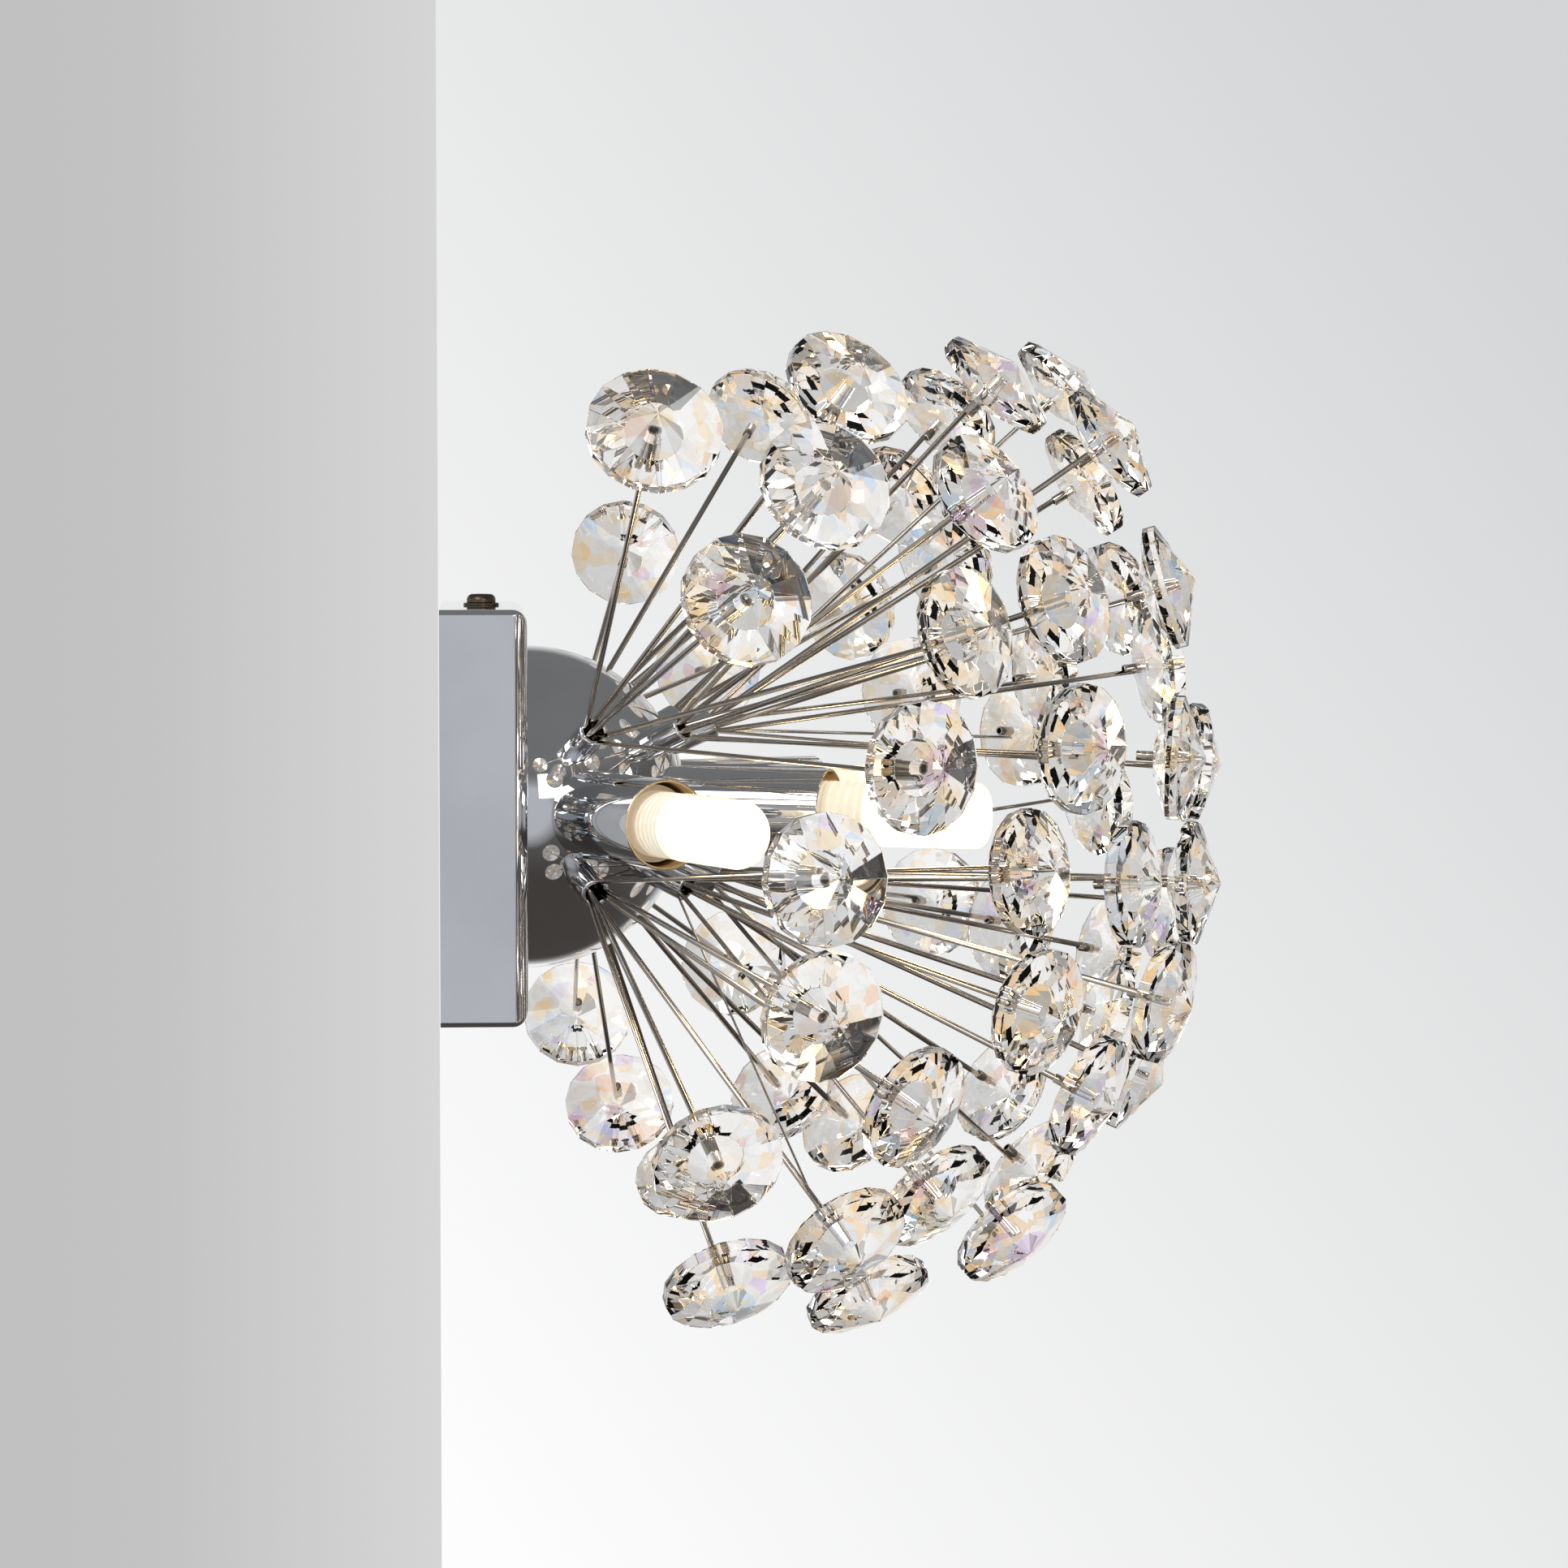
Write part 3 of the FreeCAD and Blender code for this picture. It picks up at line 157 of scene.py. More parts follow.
def turned(name, profile, steps):  # spins a profile round X, its points are (along X, distance from X)
    layDown()
    bpy.ops.mesh.primitive_plane_add(size=mm, location=(0, 0, 0))
    piece = named(name)
    bpy.ops.object.mode_set(mode="EDIT")
    bpy.ops.mesh.select_all(action="SELECT")
    bpy.ops.mesh.merge(type="CENTER")
    bpy.ops.mesh.select_mode(type="VERT")
    bpy.ops.mesh.select_all(action="SELECT")
    bpy.ops.transform.translate(value=(profile[0][0] * mm, profile[0][1] * mm, 0))
    for before, after in zip(profile, profile[1:]):
        step = ((after[0] - before[0]) * mm, (after[1] - before[1]) * mm, 0)
        bpy.ops.mesh.extrude_region_move(TRANSFORM_OT_translate={"value": step})
    bpy.ops.mesh.select_all(action="SELECT")
    bpy.ops.mesh.spin(steps=steps, angle=2 * math.pi, center=(0, 0, 0), axis=(1, 0, 0))
    bpy.ops.mesh.select_all(action="SELECT")
    bpy.ops.mesh.remove_doubles(threshold=0.002 * mm)
    bpy.ops.mesh.normals_make_consistent(inside=False)
    bpy.ops.object.mode_set(mode="OBJECT")
    return piece


def paint(piece, material):
    piece.data.materials.clear()
    piece.data.materials.append(material)
    return piece


def handOver(piece, body, slot, *nodes):
    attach(piece, body)
    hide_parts(*nodes)
    return piece


# finishes

def newFinish(name, **sockets):
    material = bpy.data.materials.new(name)
    material.use_nodes = True
    tree = material.node_tree
    shader = tree.nodes["Principled BSDF"]
    for key, value in sockets.items():
        shader.inputs[key.replace("_", " ")].default_value = value
    return material, tree, shader


def grain(tree, scale, detail=3, roughness=0.5):  # noise over the piece itself
    where = tree.nodes.new("ShaderNodeTexCoord")
    noise = tree.nodes.new("ShaderNodeTexNoise")
    noise.inputs["Scale"].default_value = scale
    noise.inputs["Detail"].default_value = detail
    noise.inputs["Roughness"].default_value = roughness
    tree.links.new(where.outputs["Object"], noise.inputs["Vector"])
    return noise.outputs["Fac"]


def patches(tree, scale):  # small cells over the piece itself
    where = tree.nodes.new("ShaderNodeTexCoord")
    cells = tree.nodes.new("ShaderNodeTexVoronoi")
    cells.inputs["Scale"].default_value = scale
    tree.links.new(where.outputs["Object"], cells.inputs["Vector"])
    return cells


def spread(tree, source, low, high, bottom=0.35, top=0.65):  # stretches bottom to top over low to high
    node = tree.nodes.new("ShaderNodeMapRange")
    node.inputs["From Min"].default_value = bottom
    node.inputs["From Max"].default_value = top
    node.inputs["To Min"].default_value = low
    node.inputs["To Max"].default_value = high
    tree.links.new(source, node.inputs["Value"])
    return node.outputs["Result"]


def tones(tree, source, stops):
    ramp = tree.nodes.new("ShaderNodeValToRGB")
    marks = ramp.color_ramp.elements
    marks[0].position, marks[0].color = stops[0][0], (*stops[0][1], 1)
    marks[1].position, marks[1].color = stops[-1][0], (*stops[-1][1], 1)
    for place, tone in stops[1:-1]:
        mark = marks.new(place)
        mark.color = (*tone, 1)
    tree.links.new(source, ramp.inputs["Fac"])
    return ramp.outputs["Color"]


def raised(tree, shader, source, depth, strength=0.3):
    bump = tree.nodes.new("ShaderNodeBump")
    bump.inputs["Strength"].default_value = strength
    bump.inputs["Distance"].default_value = depth * mm
    tree.links.new(source, bump.inputs["Height"])
    tree.links.new(bump.outputs["Normal"], shader.inputs["Normal"])


# grains are (scale, detail, roughness), depths are how far the bumps stand out
plated = {"cloud": (28, 4), "wipe": (190, 5, 0.6), "pores": (420, 2), "depth": 0.004, "strength": 0.15}
rolled = {"spangle": 260, "wear": (350, 4), "rough": (0.32, 0.5), "depth": 0.02, "strength": 0.2}
moulded = {"detail": 4, "fineDetail": 3, "wear": 4, "pores": 6, "strength": 0.35}
clear = {"tint": (60, 3), "cells": 240, "haze": (500, 4), "hazeSpan": (0.45, 0.75)}
glowing = {"grain": (700, 2), "rough": 0.5}


def platedFinish(name, dark, light, smear, gloss):
    material, tree, shader = newFinish(name, Metallic=1.0)
    cloud = grain(tree, *plated["cloud"])
    wipe = grain(tree, *plated["wipe"])
    tree.links.new(tones(tree, cloud, [(0.3, dark), (0.7, light)]), shader.inputs["Base Color"])
    tree.links.new(spread(tree, wipe, gloss, smear), shader.inputs["Roughness"])
    raised(tree, shader, grain(tree, *plated["pores"]), plated["depth"], plated["strength"])
    return material


def rollerFinish(name, dark, light):  # zinc plate with a dull spangle
    material, tree, shader = newFinish(name, Metallic=1.0)
    cells = patches(tree, rolled["spangle"])
    tree.links.new(tones(tree, cells.outputs["Color"], [(0.1, dark), (0.9, light)]), shader.inputs["Base Color"])
    tree.links.new(spread(tree, grain(tree, *rolled["wear"]), *rolled["rough"]), shader.inputs["Roughness"])
    raised(tree, shader, cells.outputs["Distance"], rolled["depth"], rolled["strength"])
    return material


def mouldedFinish(name, stops, scale, rough, depth):
    material, tree, shader = newFinish(name)
    fine = moulded["fineDetail"]
    tree.links.new(tones(tree, grain(tree, scale, moulded["detail"]), stops), shader.inputs["Base Color"])
    tree.links.new(spread(tree, grain(tree, scale * moulded["wear"], fine), *rough), shader.inputs["Roughness"])
    raised(tree, shader, grain(tree, scale * moulded["pores"], fine), depth, moulded["strength"])
    return material


def clearFinish(name, stops, rough, cut=False, **sockets):  # cut glass gets patches of painted light: the rainbow colours it splits light into, warm bulb glints and dimmer facets
    material, tree, shader = newFinish(name, Transmission_Weight=1.0, **sockets)
    source = patches(tree, clear["cells"]).outputs["Color"] if cut else grain(tree, *clear["tint"])
    tree.links.new(tones(tree, source, stops), shader.inputs["Base Color"])
    haze = spread(tree, grain(tree, *clear["haze"]), *rough, *clear["hazeSpan"])
    tree.links.new(haze, shader.inputs["Roughness"])
    return material


def glowFinish(name, stops, strength):
    material, tree, shader = newFinish(name, Roughness=glowing["rough"], Emission_Strength=strength)
    shades = tones(tree, grain(tree, *glowing["grain"]), stops)
    tree.links.new(shades, shader.inputs["Base Color"])
    tree.links.new(shades, shader.inputs["Emission Color"])
    return material


chromeTones = {"dark": (0.70, 0.71, 0.73), "light": (0.80, 0.81, 0.83), "smear": 0.05, "gloss": 0.015}
# steel-grey plated wire; its warm brown tint is a painted reflection of the bulbs' gold light
warmGlintWireTones = {"dark": (0.38, 0.355, 0.33), "light": (0.66, 0.60, 0.52), "smear": 0.16, "gloss": 0.06}
screwTones = {"dark": (0.09, 0.07, 0.05), "light": (0.22, 0.18, 0.13), "smear": 0.4, "gloss": 0.22}
insideTones = {"dark": (0.62, 0.44, 0.22), "light": (0.80, 0.62, 0.36), "smear": 0.34, "gloss": 0.2}
brassTones = {"dark": (0.60, 0.43, 0.16), "light": (0.80, 0.63, 0.30), "smear": 0.36, "gloss": 0.2}
zincTones = {"dark": (0.48, 0.49, 0.49), "light": (0.66, 0.67, 0.66)}
rubber = {"stops": [(0.3, (0.02, 0.02, 0.022)), (0.7, (0.05, 0.05, 0.053))],
          "scale": 220, "rough": (0.5, 0.7), "depth": 0.03}
plastic = {"stops": [(0.3, (0.74, 0.74, 0.70)), (0.7, (0.82, 0.82, 0.79))],
           "scale": 90, "rough": (0.35, 0.5), "depth": 0.02}
silicone = {"stops": [(0.3, (0.66, 0.63, 0.56)), (0.7, (0.78, 0.76, 0.70))],
            "scale": 300, "rough": (0.45, 0.6), "depth": 0.01}
ceramic = {"stops": [(0.3, (0.74, 0.70, 0.60)), (0.7, (0.84, 0.81, 0.73))],
           "scale": 160, "rough": (0.4, 0.6), "depth": 0.02}
# the bulb base's weak cream glow is painted light from the chips falling on it; the base is no lamp
baseGlow = {"stops": [(0.3, (0.86, 0.78, 0.62)), (0.7, (0.94, 0.88, 0.75))], "strength": 0.3}
pasteGlow = {"stops": [(0.3, (1.0, 0.72, 0.40)), (0.7, (1.0, 0.80, 0.50))], "strength": 3.0}
chipGlow = {"stops": [(0.3, (1.0, 0.66, 0.33)), (0.7, (1.0, 0.75, 0.43))], "strength": 45.0}
# the cover's weak warm emission is a painted glow standing in for the chips' light spreading in the glass
coverLook = {"stops": [(0.3, (0.96, 0.94, 0.88)), (0.7, (1.0, 0.99, 0.96))], "rough": (0.0, 0.05), "IOR": 1.46,
             "Emission_Color": (1.0, 0.80, 0.50, 1.0), "Emission_Strength": 0.35}
# painted light in the glass's colour: rainbow fire, warm glints of the bulbs and dimmer warm facets
paintedFireTones = [
    (0.0, (0.84, 0.80, 0.73)), (0.26, (0.93, 0.91, 0.87)), (0.34, (0.99, 0.985, 0.975)),
    (0.6, (0.99, 0.985, 0.975)), (0.62, (1.0, 0.74, 0.42)), (0.69, (1.0, 0.84, 0.62)),
    (0.71, (0.98, 0.975, 0.97)), (0.78, (0.98, 0.975, 0.97)), (0.79, (0.50, 0.72, 1.0)),
    (0.82, (0.98, 0.97, 0.97)), (0.85, (1.0, 0.60, 0.36)), (0.88, (0.72, 0.55, 1.0)),
    (0.9, (0.97, 0.97, 0.96)),
]
crystalLook = {"stops": paintedFireTones, "rough": (0.0, 0.02), "cut": True, "IOR": 1.6}

chrome = platedFinish("chrome", **chromeTones)
brightWire = platedFinish("brightWire", **warmGlintWireTones)
darkNickel = platedFinish("darkNickel", **screwTones)
sleeveInside = platedFinish("sleeveInside", **insideTones)
brass = platedFinish("brass", **brassTones)
zinc = rollerFinish("zinc", **zincTones)
bushRubber = mouldedFinish("bushRubber", **rubber)
blockPlastic = mouldedFinish("blockPlastic", **plastic)
leadSkin = mouldedFinish("leadSkin", **silicone)
socketCeramic = mouldedFinish("socketCeramic", **ceramic)
# the bulb base gets a painted glow in place of the chips' light
bulbBasePaintedGlow = glowFinish("bulbBasePaintedGlow", **baseGlow)
crystalGlass = clearFinish("crystalGlass", **crystalLook)
bulbGlass = clearFinish("bulbGlass", **coverLook)
corePaste = glowFinish("corePaste", **pasteGlow)
lightChip = glowFinish("lightChip", **chipGlow)
print("finishes made")


# canopy: folded sheet, open to the wall

canopy = {"side": 100, "depth": 21, "sheet": 1.2, "bend": 3.6, "bendSteps": 8, "corner": 1.4, "cornerSteps": 5,
          "leadHole": 6.2, "screwHole": 2.2, "screwReach": 10, "drill": 8, "lugHole": 1.7, "lugReach": 36.2,
          "lugTurns": (90, 210, 330)}


def post(radius, length, spot, axis, sides=48):  # round bar for a hole or a pin
    turns = {"X": (0, math.pi / 2, 0), "Y": (math.pi / 2, 0, 0), "Z": (0, 0, 0)}
    layDown()
    bpy.ops.mesh.primitive_cylinder_add(vertices=sides, radius=radius * mm, depth=length * mm,
                                        location=[part * mm for part in spot], rotation=turns[axis])
    return settle(bpy.context.object)


def lugSpots():
    for degrees in canopy["lugTurns"]:
        turn = math.radians(degrees)
        yield canopy["lugReach"] * math.cos(turn), canopy["lugReach"] * math.sin(turn)


def onDiagonal(point):
    return abs(abs(point.y) - abs(point.z)) < near


def makeCanopy():
    side, depth, sheet = canopy["side"] * mm, canopy["depth"] * mm, canopy["sheet"] * mm
    thin = 0.0001 * side * side

    def atCorner(one, two):
        sameDiagonal = abs(one.y * two.z - one.z * two.y) < thin
        return onDiagonal(one) and onDiagonal(two) and min(one.x, two.x) < depth - near and sameDiagonal

    layDown()
    bpy.ops.mesh.primitive_cube_add(size=1, location=(depth / 2, 0, 0), scale=(depth, side, side))
    piece = settle(named("canopy"))
    pickEdges(piece, lambda one, two: min(one.x, two.x) > depth / 2)
    bpy.ops.mesh.bevel(offset=canopy["bend"] * mm, segments=canopy["bendSteps"], profile=0.5, affect="EDGES")
    pickEdges(piece, atCorner)
    bpy.ops.mesh.bevel(offset=canopy["corner"] * mm, segments=canopy["cornerSteps"], profile=0.5, affect="EDGES")
    pickFaces(piece, lambda face: face.normal.x < -0.9)
    bpy.ops.mesh.inset(thickness=sheet)
    bpy.ops.mesh.extrude_region_move(TRANSFORM_OT_translate={"value": (depth - sheet, 0, 0)})
    bpy.ops.object.mode_set(mode="OBJECT")
    through = 3 * canopy["side"]
    tools = [post(canopy["leadHole"], canopy["drill"], (canopy["depth"], 0, 0), "X"),
             post(canopy["screwHole"], through, (canopy["screwReach"], 0, 0), "Z")]
    for across, rise in lugSpots():
        tools.append(post(canopy["lugHole"], canopy["drill"], (canopy["depth"], across, rise), "X", 24))
    cutBy(piece, joined("canopyDrill", tools))
    smoothed(piece, 25)
    withModifier(piece, "WEIGHTED_NORMAL", weight=100, keep_sharp=True)
    return handOver(paint(piece, chrome), "fixture", "chrome", "canopy_box")


makeCanopy()
print("canopy made")


# canopy screws: pan heads with a cross, each on a washer

canopyScrew = {"shank": 2.0, "length": 7.0, "tipWidth": 0.4, "tipLength": 0.5, "head": 3.6, "height": 2.2, "rim": 0.7,
               "rimBreak": 0.15, "crown": 1.5, "top": 0.35, "crossWidth": 0.9, "crossReach": 4.2, "barLength": 3,
               "barLift": 0.5, "washer": 4.4, "washerHole": 2.2, "washerSheet": 0.6}
washerBreak = {"low": 0.1, "high": 0.15, "top": 0.2}


def screwPlaces(lift):
    for way in (1, -1):
        seat = way * (canopy["side"] / 2 + lift) * mm
        yield facing(Vector((0.0, 0.0, way)), Vector((canopy["screwReach"] * mm, 0, seat)))


def makeScrewMaster():
    head, height, shank, rim = (canopyScrew[key] for key in ("head", "height", "shank", "rim"))
    edge, crown, length = canopyScrew["rimBreak"], canopyScrew["crown"], canopyScrew["length"]
    profile = [(-length, 0), (-length, shank - canopyScrew["tipWidth"]), (-length + canopyScrew["tipLength"], shank),
               (0, shank), (0, head - edge), (edge, head), (rim, head)]
    profile += arc((rim, head - crown), crown, 75, 15, 5)
    profile += [(height, head * canopyScrew["top"]), (height, 0)]
    master = smoothed(turned("canopyScrewMaster", profile, 40))
    width, reach = canopyScrew["crossWidth"], canopyScrew["crossReach"]
    bars = []
    for sizes in ((canopyScrew["barLength"], width, reach), (canopyScrew["barLength"], reach, width)):
        layDown()
        bpy.ops.mesh.primitive_cube_add(size=1, location=((height + canopyScrew["barLift"]) * mm, 0, 0),
                                        scale=[part * mm for part in sizes])
        bars.append(settle(bpy.context.object))
    for bar in bars:
        cutBy(master, bar)
    return master


def makeWasherMaster():
    sheet, outer, hole = canopyScrew["washerSheet"], canopyScrew["washer"], canopyScrew["washerHole"]
    ring = [(0, hole), (0, outer - washerBreak["low"]), (washerBreak["low"], outer), (sheet - washerBreak["high"], outer),
            (sheet, outer - washerBreak["top"]), (sheet, hole), (0, hole)]
    return smoothed(turned("washerMaster", ring, 48))


def makeCanopyScrews():
    for master, name, lift, node in ((makeScrewMaster(), "canopyScrews", canopyScrew["washerSheet"], "canopy_screws"),
                                     (makeWasherMaster(), "canopyWashers", 0, "canopy_screw_washers")):
        copies = [copyTo(master, name + "Copy", place) for place in screwPlaces(lift)]
        drop(master)
        handOver(paint(joined(name, copies), darkNickel), "fixture", "screw_steel", node)


# hub: half ball with holes for the lamps' tubes and the holders' studs

hub = {"radius": 40, "sheet": 1.2, "lampHole": 5.03, "studHole": 2.03, "drill": 20, "lug": 3.0, "lugHeight": 6.0,
       "tap": 1.53, "steps": 160}
lampTurns = (66, 22, -22, -66)
holderTurns = (70, 35, 0, -35, -70)
holderRise = {"upper": 24, "lower": -21}


def holderAims():
    for row, rise in holderRise.items():
        for number, sideways in enumerate(holderTurns, start=1):
            yield "%s_%d" % (row, number), aimed(sideways, rise)


def makeHub():
    radius = hub["radius"]
    inner = radius - hub["sheet"]
    profile = arc((0, 0), radius, 90, 0, 48) + arc((0, 0), inner, 0, 90, 40) + [(0, radius)]
    piece = turned("hub", profile, hub["steps"])
    holes = [(hub["lampHole"], 48, aimed(degrees, 0)) for degrees in lampTurns]
    holes += [(hub["studHole"], 24, aim) for name, aim in holderAims()]
    tools = []
    for size, sides, aim in holes:
        tool = post(size, hub["drill"], (radius, 0, 0), "X", sides)
        tool.matrix_world = facing(aim, Vector())
        tools.append(settle(tool))
    cutBy(piece, joined("hubDrill", tools))
    tap, outside, height = hub["tap"], hub["lug"], hub["lugHeight"]
    lugs = []
    for across, rise in lugSpots():
        ring = turned("lug", [(0, tap), (0, outside), (height, outside), (height, tap), (0, tap)], 32)
        ring.location = (0, across * mm, rise * mm)
        lugs.append(settle(ring))
    piece = joined("hub", lugs + [piece])
    piece.location = hubSpot
    settle(piece)
    smoothed(piece, 40)
    return handOver(paint(piece, chrome), "fixture", "chrome", "dome")


makeCanopyScrews()
makeHub()
print("hub made")


# lamp sleeves: plated cups, coped to the hub

sleeve = {"radius": 10.8, "wall": 0.7, "mouth": 79.5, "floor": 41.5, "floorBend": 0.6, "bendStep": 0.2, "hole": 5.03,
          "steps": 96}


def copeAt(distance):  # where a piece of that radius meets the hub
    return math.sqrt(hub["radius"] ** 2 - distance ** 2)


def cope(inner, outer, count=8):
    reaches = [inner + (outer - inner) * step / count for step in range(count + 1)]
    return [(copeAt(reach), reach) for reach in reaches]


def makeSleeves():
    outer, mouth, bore = sleeve["radius"], sleeve["mouth"], sleeve["radius"] - sleeve["wall"]
    lip = sleeve["wall"] / 2
    profile = cope(sleeve["hole"], outer)
    profile += arc((mouth - lip, outer - lip), lip, 90, -90, 8)
    floor, bend, step = sleeve["floor"], sleeve["floorBend"], sleeve["bendStep"]
    profile += [(floor + bend, bore), (floor + step, bore - step), (floor, bore - bend)]
    profile += [(floor, sleeve["hole"]), (copeAt(sleeve["hole"]), sleeve["hole"])]
    master = smoothed(turned("sleeveMaster", profile, sleeve["steps"]))
    paint(master, chrome)
    master.data.materials.append(sleeveInside)
    for face in master.data.polygons:
        reach = math.hypot(face.center.y, face.center.z) / mm
        inside = reach < bore + lip * 1.3 and face.center.x / mm > floor - 0.01
        face.material_index = 1 if inside else 0
    for number, degrees in enumerate(lampTurns, start=1):
        piece = copyTo(master, "sleeve%d" % number, facing(aimed(degrees, 0), hubSpot))
        handOver(piece, "fixture", "chrome", "lamp_sleeve_%d" % number)
    drop(master)


makeSleeves()
print("sleeves made")


# bulbs: ribbed base with two looped pins, clear cover, post with light chips

bulb = {"foot": 72.8, "footBend": 0.5, "footStep": 0.15, "radius": 7.8, "shoulder": 90, "shoulderBreak": 0.2,
        "collar": 7.17, "collarEnd": 93, "ribs": 5, "ribStart": 78.6, "ribStep": 2.2, "ribDepth": 0.45,
        "ribPlan": (0.25, 0.75, 1.0), "pinSpacing": 9, "pinLength": 12.6, "pinWire": 0.45, "pinWidth": 2.6}
cover = {"radius": 8, "wall": 0.8, "start": 90, "tip": 119, "bend": 2.6}
core = {"radius": 4.55, "start": 93, "end": 116, "rows": 7, "gap": 0.4, "chipHeight": 0.3}


def makePin(rise):
    wire = bulb["pinWire"]
    half = bulb["pinWidth"] / 2 - wire
    straight = bulb["pinLength"] - half - wire
    layDown()
    bpy.ops.mesh.primitive_circle_add(vertices=12, radius=wire * mm, fill_type="NGON",
                                      location=(bulb["foot"] * mm, half * mm, rise * mm), rotation=(0, -math.pi / 2, 0))
    piece = named("pin")
    bpy.ops.object.mode_set(mode="EDIT")
    bpy.ops.mesh.select_all(action="SELECT")
    bpy.ops.mesh.extrude_region_move(TRANSFORM_OT_translate={"value": (-straight * mm, 0, 0)})
    bpy.ops.mesh.spin(steps=12, angle=math.pi, center=((bulb["foot"] - straight) * mm, 0, rise * mm), axis=(0, 0, 1))
    bpy.ops.mesh.extrude_region_move(TRANSFORM_OT_translate={"value": (straight * mm, 0, 0)})
    bpy.ops.mesh.select_all(action="SELECT")
    bpy.ops.mesh.normals_make_consistent(inside=False)
    bpy.ops.object.mode_set(mode="OBJECT")
    return smoothed(settle(piece), 50)


def makeBulbBase():
    edge, foot, bend, step = (bulb[key] for key in ("radius", "foot", "footBend", "footStep"))
    low = edge - bulb["ribDepth"]
    down, along, back = bulb["ribPlan"]
    profile = [(foot, 0), (foot, edge - bend), (foot + step, edge - step), (foot + bend, edge)]
    for rib in range(bulb["ribs"]):
        start = bulb["ribStart"] + rib * bulb["ribStep"]
        profile += [(start, edge), (start + down, low), (start + along, low), (start + back, edge)]
    shoulder, gap = bulb["shoulder"], bulb["shoulderBreak"]
    profile += [(shoulder - gap, edge), (shoulder, edge - gap), (shoulder, bulb["collar"]),
                (bulb["collarEnd"], bulb["collar"]), (bulb["collarEnd"], 0)]
    return smoothed(turned("bulbBaseMaster", profile, 72))


def makeCore():
    layDown()
    length = core["end"] - core["start"]
    bpy.ops.mesh.primitive_cylinder_add(vertices=6, radius=core["radius"] * mm, depth=length * mm,
                                        location=((core["start"] + length / 2) * mm, 0, 0), rotation=(0, math.pi / 2, 0))
    piece = settle(named("coreMaster"))
    takeUp(piece)
    bpy.ops.object.mode_set(mode="EDIT")
    for row in range(1, core["rows"]):
        bpy.ops.mesh.select_all(action="SELECT")
        cut = (core["start"] + length * row / core["rows"]) * mm
        bpy.ops.mesh.bisect(plane_co=(cut, 0, 0), plane_no=(1, 0, 0))
    bpy.ops.object.mode_set(mode="OBJECT")
    paint(piece, corePaste)
    piece.data.materials.append(lightChip)
    pickFaces(piece, lambda face: abs(face.normal.x) < 0.1)
    bpy.ops.mesh.inset(thickness=core["gap"] * mm, use_individual=True)
    bpy.ops.mesh.extrude_faces_move(TRANSFORM_OT_shrink_fatten={"value": core["chipHeight"] * mm})
    bpy.context.object.active_material_index = 1
    bpy.ops.object.material_slot_assign()
    pickFaces(piece, lambda face: face.normal.x > 0.9 and face.center.x > (core["end"] - 0.1) * mm)
    bpy.ops.mesh.inset(thickness=core["gap"] * 2 * mm)
    bpy.ops.mesh.extrude_region_move(TRANSFORM_OT_translate={"value": (core["chipHeight"] * mm, 0, 0)})
    bpy.context.object.active_material_index = 1
    bpy.ops.object.material_slot_assign()
    bpy.ops.object.mode_set(mode="OBJECT")
    return piece


def makeBulbs():
    base = paint(makeBulbBase(), bulbBasePaintedGlow)
    pins = [paint(makePin(way * bulb["pinSpacing"] / 2), brightWire) for way in (1, -1)]
    base = joined("bulbBaseMaster", pins + [base])
    tip, outside, bend, wall = cover["tip"], cover["radius"], cover["bend"], cover["wall"]
    profile = [(cover["start"], outside - wall), (cover["start"], outside)]
    profile += arc((tip - bend, outside - bend), bend, 90, 0, 10) + [(tip, 0), (tip - wall, 0)]
    profile += arc((tip - bend, outside - bend), bend - wall, 0, 90, 8) + [(cover["start"], outside - wall)]
    glass = paint(smoothed(turned("coverMaster", profile, 80), 40), bulbGlass)
    chipPost = makeCore()
    for number, degrees in enumerate(lampTurns, start=1):
        place = facing(aimed(degrees, 0), hubSpot)
        body = "bulb_%d" % number
        handOver(copyTo(base, "bulbBase%d" % number, place), body, "bulb_base", "bulb_base_%d" % number)
        handOver(copyTo(glass, "bulbCover%d" % number, place), body, "bulb_cover", "bulb_cover_%d" % number)
        handOver(copyTo(chipPost, "bulbCore%d" % number, place), body, "light_chips", "bulb_core_%d" % number)
    for master in (base, glass, chipPost):
        drop(master)


makeBulbs()
print("bulbs made")


# holders, wires and glass discs

holder = {"radius": 3.6, "bore": 2.5, "reach": 51, "depth": 9.6, "lip": 0.5, "boreLip": 0.25, "stud": 2.0,
          "studStart": 34.2, "studBreak": 0.3}
wire = {"radius": 0.75, "circle": 1.7, "bend": 4.0, "sides": 12, "bendSteps": 8, "tip": 0.75}

